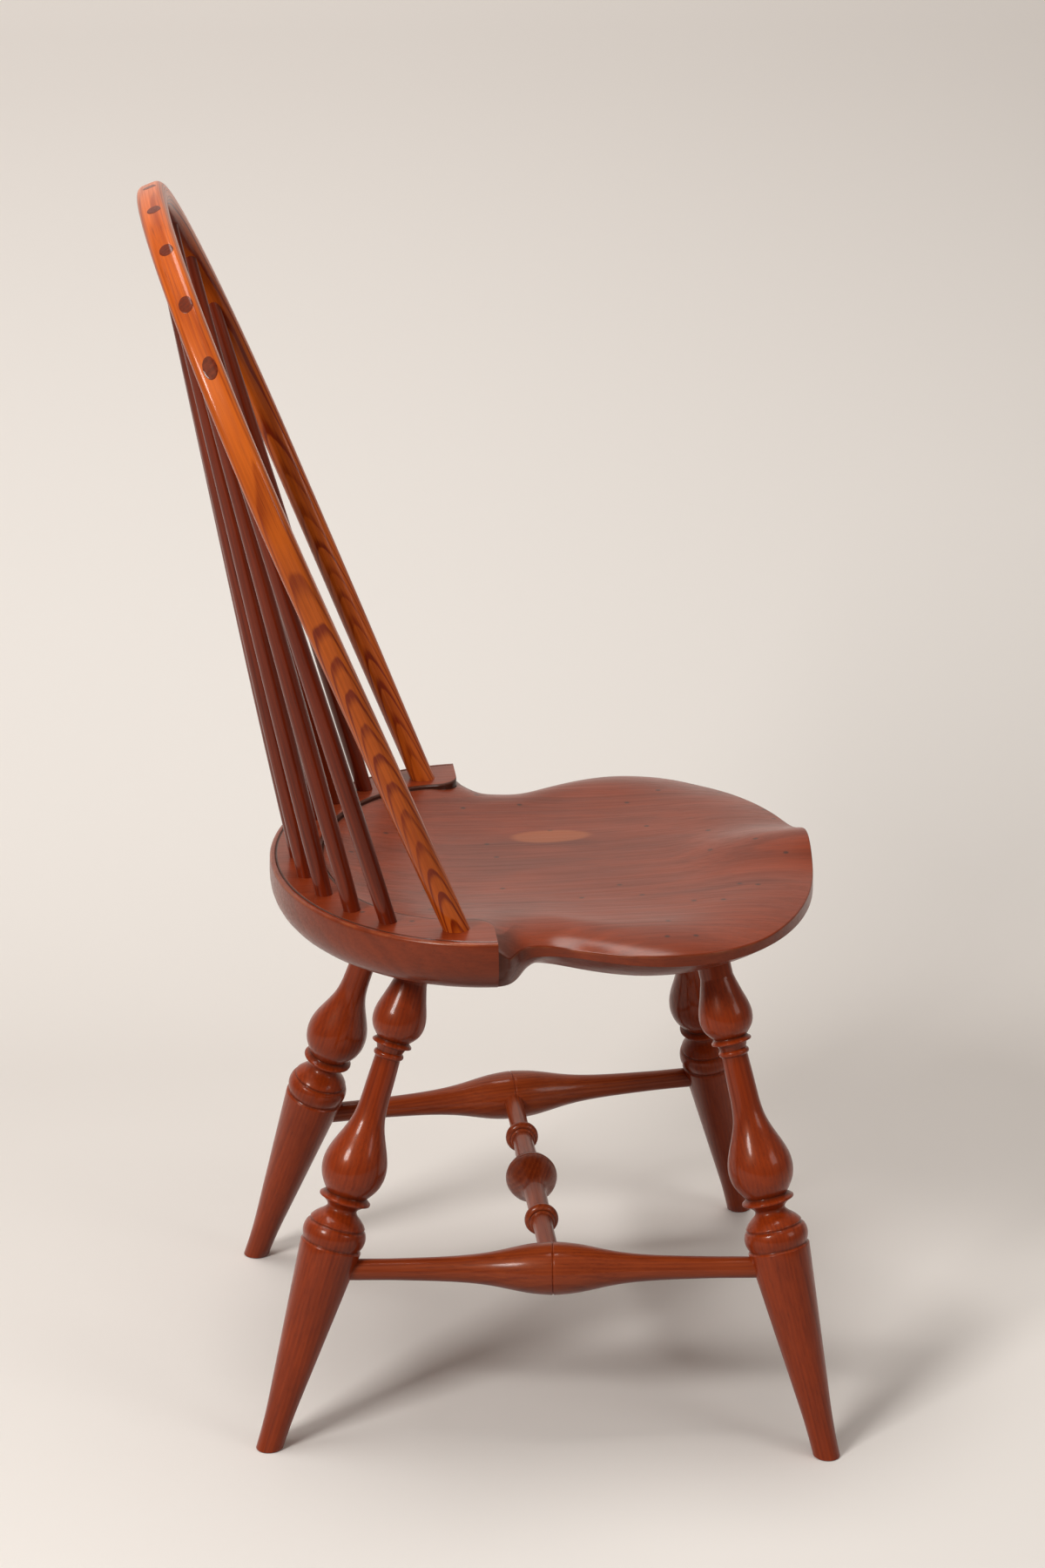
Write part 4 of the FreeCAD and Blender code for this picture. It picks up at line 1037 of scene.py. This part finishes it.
class CHAIR_OT_turned_legs(Operator):
    """Make the four turned legs"""
    bl_idname = "chair.turned_legs"
    bl_label = "Turned Legs"

    def execute(self, context):
        scene = context.scene
        seat, legs = sizes(scene.chair_seat), sizes(scene.chair_legs)
        finish = scene.chair_finish
        material = wood("leg_wood", finish.leg_light, finish.leg_dark, finish.shade_and_stain, finish.pale_and_highlight,
                        pith=(0.02, 0.09), ring=0.0034, ring_amount=0.3, streak_amount=0.3,
                        pore_amount=0.3, roughness=0.36, coat=0.35, coat_roughness=0.12)
        offset = 0.3
        for end, front in ENDS:
            for name, side in SIDES:
                grid, grain, shade_and_stain = leg_surface(seat, legs, front, side)
                add_turned(grid, grain, shade_and_stain, "turned_leg_%s_%s" % (end, name), material,
                           "leg_%s_%s" % (end, name), offset, 0.012)
                offset += 0.77
        return {"FINISHED"}


# Stretchers

STRETCHER_COLUMNS = 72


def side_stretcher_outline(stretchers, half):
    """Outline of half a side stretcher: straight end, waist, swell and the scored line in the middle."""
    outline = [(0.0, stretchers.end_diameter), ("line", [(half - 132.0, stretchers.end_diameter)])]
    outline.append(("curve", [(half - 92.0, stretchers.waist_diameter),
                              (half - 45.0, stretchers.flare_diameter),
                              (half - 18.0, mix(stretchers.flare_diameter, stretchers.diameter, 0.78)),
                              (half - 0.9, stretchers.diameter)]))
    outline.append(("line", [(half, stretchers.diameter - 1.8)]))
    return outline


def cross_stretcher_outline(stretchers, half):
    """Outline of half the cross stretcher: end, bead between two collars, neck and half the bulb."""
    neck = stretchers.cross_neck_diameter
    end = stretchers.cross_end_diameter
    start = half - 86.5
    outline = [(0.0, end), ("line", [(start - 15.0, end)])]
    outline.append(("line", [(start - 3.0, mix(end, neck, 0.4))]))
    outline.append(("arc", [(start - 1.5, 20.6), (start, neck)]))
    outline.append(("arc", [(start + 4.5, stretchers.bead_diameter), (start + 9.0, neck)]))
    outline.append(("arc", [(start + 10.5, 20.6), (start + 12.0, neck - 1.6)]))
    outline.append(("line", [(half - 31.0, neck)]))
    bulb = [(half - 31.0 * (1.0 - part), mix(neck, stretchers.cross_diameter, size))
            for part, size in ((0.25, 0.17), (0.5, 0.52), (0.75, 0.85))]
    outline.append(("curve", bulb + [(half - 0.9, stretchers.cross_diameter)]))
    outline.append(("line", [(half, stretchers.cross_diameter - 1.8)]))
    return outline


class CHAIR_OT_turned_stretchers(Operator):
    """Make the two side stretchers and the cross stretcher"""
    bl_idname = "chair.turned_stretchers"
    bl_label = "Turned Stretchers"

    def execute(self, context):
        scene = context.scene
        seat, legs = sizes(scene.chair_seat), sizes(scene.chair_legs)
        stretchers = sizes(scene.chair_stretchers)
        finish = scene.chair_finish
        material = wood("stretcher_wood", finish.stretcher_light, finish.stretcher_dark, finish.shade_and_stain,
                        finish.pale_and_highlight, pith=(0.07, 0.06), ring=0.0032, ring_amount=0.35, streak_amount=0.3,
                        pore_amount=0.3, roughness=0.38, coat=0.35, coat_roughness=0.15)

        def add(start, end, outline, name, offset):
            reach = np.linalg.norm(end - start)
            rows = mirrored(turning(outline(stretchers, reach / 2.0)))
            grid, grain = revolve(rows, start, (end - start) / reach, STRETCHER_COLUMNS)
            # Groove depths, for the painted shade in the grooves
            shade_and_stain = np.repeat(rows[:, 2:3], STRETCHER_COLUMNS, axis=1)
            add_turned(grid, grain, shade_and_stain, "turned_" + name, material, name, offset, 0.02)

        for name, side in SIDES:
            rear, front = side_stretcher_line(seat, legs, stretchers, side)
            add(rear, front, side_stretcher_outline, "side_stretcher_" + name, 1.9 + side)
        middle = (rear + front) / 2.0
        reach = abs(middle[0]) - stretchers.cross_short
        across = np.array([reach, 0.0, 0.0])
        middle[0] = 0.0
        add(middle - across, middle + across, cross_stretcher_outline, "cross_stretcher", 4.2)
        return {"FINISHED"}


# Finishes

def linear(screen_colour):
    """Linear colour, with alpha, of a screen colour."""
    values = np.asarray(screen_colour, float)
    low = values / 12.92
    high = ((values + 0.055) / 1.055) ** 2.4
    return tuple(np.where(values <= 0.04045, low, high)) + (1.0,)


# Middle of the lighter heart of the seat's grain, and one over its half width and half length, in metres
HEART_PLACE = (0.064, -0.027)
HEART_STRETCH = (1.0 / 0.014, 1.0 / 0.036)


class Nodes:
    """Short way to add the nodes of a material and join them."""

    def __init__(self, material):
        material.use_nodes = True
        self.tree = material.node_tree
        self.tree.nodes.clear()

    def add(self, kind, inputs=None, **settings):
        """Node of a kind with its settings. Inputs are values, or outputs of other nodes to join."""
        node = self.tree.nodes.new(kind)
        for key, value in settings.items():
            setattr(node, key, value)
        for key, value in (inputs or {}).items():
            socket = node.inputs[key]
            if isinstance(value, bpy.types.NodeSocket):
                self.tree.links.new(value, socket)
            else:
                socket.default_value = value
        return node

    def math(self, operation, first, second=0.0, third=0.0):
        """Number worked out from up to three others."""
        return self.add("ShaderNodeMath", {0: first, 1: second, 2: third}, operation=operation).outputs[0]

    def vector(self, operation, first, second=(0.0, 0.0, 0.0)):
        """Vector worked out from two others."""
        return self.add("ShaderNodeVectorMath", {0: first, 1: second}, operation=operation).outputs[0]

    def spread(self, value, low, high, to_low=0.0, to_high=1.0):
        """Value taken from one range to another, smoothly and kept inside it."""
        inputs = {"Value": value, "From Min": low, "From Max": high, "To Min": to_low, "To Max": to_high}
        return self.add("ShaderNodeMapRange", inputs, interpolation_type="SMOOTHSTEP").outputs[0]

    def noise(self, vector, scale, detail=3.0, roughness=0.5):
        """Noise over a vector that is first scaled by three factors."""
        scaled = self.vector("MULTIPLY", vector, scale)
        inputs = {"Vector": scaled, "Scale": 1.0, "Detail": detail, "Roughness": roughness}
        return self.add("ShaderNodeTexNoise", inputs).outputs[0]

    def mix(self, share_of, first, second):
        """Colour between two others."""
        inputs = {0: share_of, 6: first, 7: second}
        return self.add("ShaderNodeMix", inputs, data_type="RGBA").outputs[2]


def wood(name, light, dark, shade_and_stain, pale_and_highlight, pith, ring, ring_amount, streak_amount, pore_amount,
         roughness, coat, coat_roughness, ring_sharp=False, specks=False):
    """Stained and varnished wood that follows the piece it is on.

    The layer "grain" holds each point's place across and along the piece, "lay" how far the rings
    drift along it, "shade_and_stain" the painted shade in grooves and corners and the darker end grain,
    and "wear_and_highlight" the scuffed edges, which on the seat also carry a painted highlight. A ring's
    place is the distance from the pith less the drift.
    """
    material = bpy.data.materials.new(name)
    n = Nodes(material)
    place = n.add("ShaderNodeAttribute", attribute_name="grain").outputs["Vector"]
    lay = n.add("ShaderNodeAttribute", attribute_name="lay").outputs["Fac"]
    shade_and_stain_share = n.add("ShaderNodeAttribute", attribute_name="shade_and_stain").outputs["Fac"]
    scuff_and_highlight = n.add("ShaderNodeAttribute", attribute_name="wear_and_highlight").outputs["Fac"]
    wander = n.noise(place, (22.0, 22.0, 5.0), 2.0)
    from_pith = n.vector("SUBTRACT", place, (pith[0], pith[1], 0.0))
    from_pith = n.vector("MULTIPLY", from_pith, (1.0, 1.0, 0.0))
    distance = n.add("ShaderNodeVectorMath", {0: from_pith}, operation="LENGTH").outputs["Value"]
    drift = n.math("MULTIPLY", wander, 3.0 * ring)
    count = n.math("DIVIDE", n.math("ADD", n.math("SUBTRACT", distance, lay), drift), ring)
    phase = n.math("FRACT", count)
    if ring_sharp:
        rise = n.spread(phase, 0.0, 0.12)
        fall = n.spread(phase, 0.16, 0.55, 1.0, 0.0)
    else:
        rise = n.spread(phase, 0.0, 0.55)
        fall = n.spread(phase, 0.7, 1.0, 1.0, 0.0)
    year = n.add("ShaderNodeTexWhiteNoise", {"W": n.math("FLOOR", count)}, noise_dimensions="1D")
    strength = n.math("MULTIPLY_ADD", year.outputs["Value"], 0.7, 0.3)
    early = n.math("MULTIPLY", n.math("MULTIPLY", rise, fall), strength)
    streak = n.spread(n.noise(place, (420.0, 420.0, 7.0), 5.0, 0.62), 0.34, 0.68)
    broad = n.spread(n.noise(place, (24.0, 24.0, 9.0), 3.0), 0.3, 0.7)
    pores = n.spread(n.noise(place, (1500.0, 1500.0, 42.0), 2.0), 0.56, 0.7)
    dark_share = n.math("ADD", n.math("MULTIPLY", early, ring_amount),
                        n.math("MULTIPLY", streak, streak_amount))
    dark_share = n.math("ADD", dark_share, n.math("MULTIPLY", broad, 0.34))
    base = n.mix(n.math("MINIMUM", dark_share, 1.0), linear(light), linear(dark))
    pore_share = n.math("MULTIPLY", pores, pore_amount)
    if ring_sharp:
        pore_share = n.math("MULTIPLY", pore_share, n.math("ADD", 0.35, early))
    base = n.mix(n.math("MINIMUM", pore_share, 1.0), base, linear(np.array(dark) * 0.55))
    if specks:
        axes = n.add("ShaderNodeSeparateXYZ", {0: place}).outputs
        flat = n.add("ShaderNodeCombineXYZ", {0: axes[0], 1: axes[2]}).outputs[0]
        dots = n.vector("MULTIPLY", flat, (38.0, 30.0, 1.0))
        cells = n.add("ShaderNodeTexVoronoi", {"Vector": dots, "Scale": 1.0, "Randomness": 1.0},
                      voronoi_dimensions="2D")
        chosen = n.add("ShaderNodeSeparateColor", {0: cells.outputs["Color"]}).outputs[0]
        chance = n.math("GREATER_THAN", chosen, 0.72)
        spot = n.math("MULTIPLY", n.spread(cells.outputs["Distance"], 0.04, 0.09, 1.0, 0.0), chance)
        base = n.mix(n.math("MULTIPLY", spot, 0.8), base, linear(shade_and_stain))
        heart = n.vector("SUBTRACT", flat, HEART_PLACE + (0.0,))
        heart = n.vector("MULTIPLY", heart, HEART_STRETCH + (0.0,))
        reach = n.add("ShaderNodeVectorMath", {0: heart}, operation="LENGTH").outputs["Value"]
        heart_share = n.spread(n.math("ADD", reach, n.math("MULTIPLY", wander, 0.5)), 1.1, 1.35, 0.45, 0.0)
        base = n.mix(heart_share, base, linear(pale_and_highlight))
    # Painted shade in grooves, the gutter and the waist (with stain there), and the darker end grain
    base = n.mix(n.math("MULTIPLY", shade_and_stain_share, 0.85), base, linear(shade_and_stain))
    # Scuffed edges, which on the seat's edges also stand for a painted highlight
    patchy = n.spread(n.noise(place, (60.0, 60.0, 40.0), 3.0), 0.35, 0.65)
    base = n.mix(n.math("MULTIPLY", n.math("MULTIPLY", scuff_and_highlight, patchy), 0.55), base, linear(pale_and_highlight))
    gloss = n.math("ADD", roughness, n.math("MULTIPLY", n.math("SUBTRACT", streak, 0.5), 0.1))
    gloss = n.math("ADD", gloss, n.math("MULTIPLY", shade_and_stain_share, 0.2))
    relief = n.math("MULTIPLY", pores, 0.5 + pore_amount)
    relief = n.math("SUBTRACT", n.math("MULTIPLY", streak, 0.25), relief)
    bump = n.add("ShaderNodeBump", {"Height": relief, "Strength": 0.35, "Distance": 0.00012})
    soft = n.add("ShaderNodeBump", {"Height": n.noise(place, (55.0, 55.0, 12.0), 2.0), "Strength": 0.5,
                                    "Distance": 0.0003})
    shader = n.add("ShaderNodeBsdfPrincipled", {
        "Base Color": base, "Roughness": gloss, "Normal": bump.outputs[0], "IOR": 1.5,
        "Specular IOR Level": 0.25, "Specular Tint": (1.0, 0.62, 0.4, 1.0),
        "Coat Weight": coat, "Coat Roughness": coat_roughness, "Coat Normal": soft.outputs[0]})
    n.add("ShaderNodeOutputMaterial", {"Surface": shader.outputs[0]})
    return material


def bare_wood(name, light, dark):
    """Unstained wood of the wedges, with its grain along their length."""
    material = bpy.data.materials.new(name)
    n = Nodes(material)
    place = n.add("ShaderNodeTexCoord").outputs["Object"]
    lean = (math.radians(22.0), 0.0, 0.0)
    turned = n.add("ShaderNodeMapping", {"Vector": place, "Rotation": lean}).outputs[0]
    lines = n.spread(n.noise(turned, (900.0, 900.0, 60.0), 4.0), 0.35, 0.65)
    base = n.mix(lines, linear(light), linear(dark))
    bump = n.add("ShaderNodeBump", {"Height": lines, "Strength": 0.4, "Distance": 0.0001})
    shader = n.add("ShaderNodeBsdfPrincipled", {"Base Color": base, "Roughness": 0.6,
                                                "Normal": bump.outputs[0]})
    n.add("ShaderNodeOutputMaterial", {"Surface": shader.outputs[0]})
    return material


# Stage

SEEN_WORLD = 0.72
FLOOR_REACH = 4200.0
BACKDROP_RADIUS = 900.0
BACKDROP_PLACE = 1500.0
BACKDROP_HEIGHT = 3600.0


def backdrop_surface():
    """Floor that curves up into a backdrop behind the chair: a line, a quarter circle and a line."""
    radius = BACKDROP_RADIUS
    wall = BACKDROP_PLACE
    low = np.column_stack([np.linspace(-FLOOR_REACH, wall - radius, 12), np.zeros(12)])
    swing = np.linspace(0.0, np.pi / 2.0, 24)[1:]
    bend = np.column_stack([wall - radius + radius * np.sin(swing), radius - radius * np.cos(swing)])
    high = np.column_stack([np.full(8, wall), np.linspace(radius, BACKDROP_HEIGHT, 9)[1:]])
    line = np.concatenate([low, bend, high])
    y = np.linspace(-FLOOR_REACH, FLOOR_REACH, 20)
    x_grid = np.repeat(line[:, :1], len(y), axis=1)
    z_grid = np.repeat(line[:, 1:], len(y), axis=1)
    y_grid = np.repeat(y[None, :], len(line), axis=0)
    return np.stack([x_grid, y_grid, z_grid], axis=-1)


def add_lamp(name, place, aim, size, power):
    """Square soft lamp at a place, pointed at another, in metres."""
    data = bpy.data.lights.new(name, "AREA")
    data.shape = "SQUARE"
    data.size = size
    data.energy = power
    lamp = bpy.data.objects.new(name, data)
    place = np.array(place)
    back = unit(place - np.array(aim))
    right = unit(np.cross([0.0, 0.0, 1.0], back)) if abs(back[2]) < 0.99 else np.array([0.0, 1.0, 0.0])
    up = np.cross(back, right)
    matrix = np.eye(4)
    matrix[:3, 0], matrix[:3, 1], matrix[:3, 2], matrix[:3, 3] = right, up, back, place
    lamp.matrix_world = Matrix(matrix.tolist())
    bpy.context.scene.collection.objects.link(lamp)
    return lamp


class CHAIR_OT_stage(Operator):
    """Set the camera, the floor with its backdrop, and the light"""
    bl_idname = "chair.stage"
    bl_label = "Stage"

    def execute(self, context):
        scene = context.scene
        stage = scene.chair_stage
        grid = backdrop_surface()
        rows, columns = grid.shape[:2]
        index = np.arange(rows * columns).reshape(rows, columns)
        quads = np.stack([index[:-1, :-1], index[1:, :-1], index[1:, 1:], index[:-1, 1:]], axis=-1)
        mesh = bpy.data.meshes.new("floor")
        mesh.from_pydata((grid.reshape(-1, 3) * METRES).tolist(), [], quads.reshape(-1, 4).tolist())
        mesh.shade_smooth()
        material = bpy.data.materials.new("floor_paint")
        n = Nodes(material)
        seen = n.add("ShaderNodeLightPath").outputs
        seen = n.math("MAXIMUM", n.math("MAXIMUM", seen["Is Camera Ray"], seen["Is Glossy Ray"]),
                      seen["Is Transmission Ray"])
        paint = n.mix(seen, linear(stage.floor_bounce), linear(stage.floor))
        shader = n.add("ShaderNodeBsdfPrincipled", {"Base Color": paint, "Roughness": 0.7})
        n.add("ShaderNodeOutputMaterial", {"Surface": shader.outputs[0]})
        mesh.materials.append(material)
        floor = bpy.data.objects.new("floor", mesh)
        scene.collection.objects.link(floor)

        forward = np.array([math.cos(stage.yaw) * math.cos(stage.pitch),
                            -math.sin(stage.yaw) * math.cos(stage.pitch), -math.sin(stage.pitch)])
        right = np.array([-math.sin(stage.yaw), -math.cos(stage.yaw), 0.0])
        up = np.cross(right, forward)
        rolled_right = math.cos(stage.roll) * right + math.sin(stage.roll) * up
        rolled_up = math.cos(stage.roll) * up - math.sin(stage.roll) * right
        matrix = np.eye(4)
        matrix[:3, 0], matrix[:3, 1], matrix[:3, 2] = rolled_right, rolled_up, -forward
        matrix[:3, 3] = stage.camera_x, stage.camera_y, stage.camera_z
        data = bpy.data.cameras.new("camera")
        data.lens = stage.lens / METRES
        data.sensor_width = 36.0
        camera = bpy.data.objects.new("camera", data)
        camera.matrix_world = Matrix(matrix.tolist())
        scene.collection.objects.link(camera)
        scene.camera = camera

        world = bpy.data.worlds.new("even_light")
        n = Nodes(world)
        seen = n.add("ShaderNodeLightPath").outputs["Is Camera Ray"]
        strength = n.math("MULTIPLY_ADD", seen, SEEN_WORLD - stage.world, stage.world)
        background = n.add("ShaderNodeBackground", {"Color": (1.0, 0.97, 0.94, 1.0), "Strength": strength})
        n.add("ShaderNodeOutputWorld", {"Surface": background.outputs[0]})
        scene.world = world
        add_lamp("key_lamp", (-2.0, 2.1, 2.5), (0.0, 0.0, 0.45), 0.9, stage.key)
        add_lamp("fill_lamp", (-1.9, -2.4, 1.9), (0.0, 0.0, 0.4), 1.1, stage.fill)
        add_lamp("top_lamp", (0.2, 0.3, 3.1), (0.0, 0.0, 0.4), 1.2, stage.top)
        scene.view_settings.view_transform = "Standard"
        return {"FINISHED"}


class CHAIR_PT_panel(Panel):
    """Sidebar with the chair's pieces and their settings"""
    bl_idname = "CHAIR_PT_panel"
    bl_label = "Bow-back Side Chair"
    bl_space_type = "VIEW_3D"
    bl_region_type = "UI"
    bl_category = "Chair"

    def draw(self, context):
        layout = self.layout
        for operator in OPERATORS:
            layout.operator(operator.bl_idname)
        for key, group in GROUPS:
            box = layout.box()
            box.label(text=group.__doc__)
            for prop in group.__annotations__:
                box.prop(getattr(context.scene, key), prop)


GROUPS = (
    ("chair_seat", SeatSettings),
    ("chair_bow", BowSettings),
    ("chair_spindles", SpindleSettings),
    ("chair_legs", LegSettings),
    ("chair_stretchers", StretcherSettings),
    ("chair_finish", FinishSettings),
    ("chair_stage", StageSettings),
)
OPERATORS = (
    CHAIR_OT_stage,
    CHAIR_OT_carved_seat,
    CHAIR_OT_bent_bow,
    CHAIR_OT_shaved_spindles,
    CHAIR_OT_turned_legs,
    CHAIR_OT_turned_stretchers,
)


def register():
    """Register every class, and hang the settings on the scene."""
    for key, group in GROUPS:
        bpy.utils.register_class(group)
        setattr(bpy.types.Scene, key, PointerProperty(type=group))
    for item in OPERATORS + (CHAIR_PT_panel,):
        bpy.utils.register_class(item)


def unregister():
    """Take everything back that register has added."""
    for item in reversed(OPERATORS + (CHAIR_PT_panel,)):
        bpy.utils.unregister_class(item)
    for key, group in reversed(GROUPS):
        delattr(bpy.types.Scene, key)
        bpy.utils.unregister_class(group)


def main():
    """Make the stage and every piece."""
    register()
    bpy.ops.chair.stage()
    bpy.ops.chair.carved_seat()
    bpy.ops.chair.bent_bow()
    bpy.ops.chair.shaved_spindles()
    bpy.ops.chair.turned_legs()
    bpy.ops.chair.turned_stretchers()


if __name__ == "__main__":
    main()
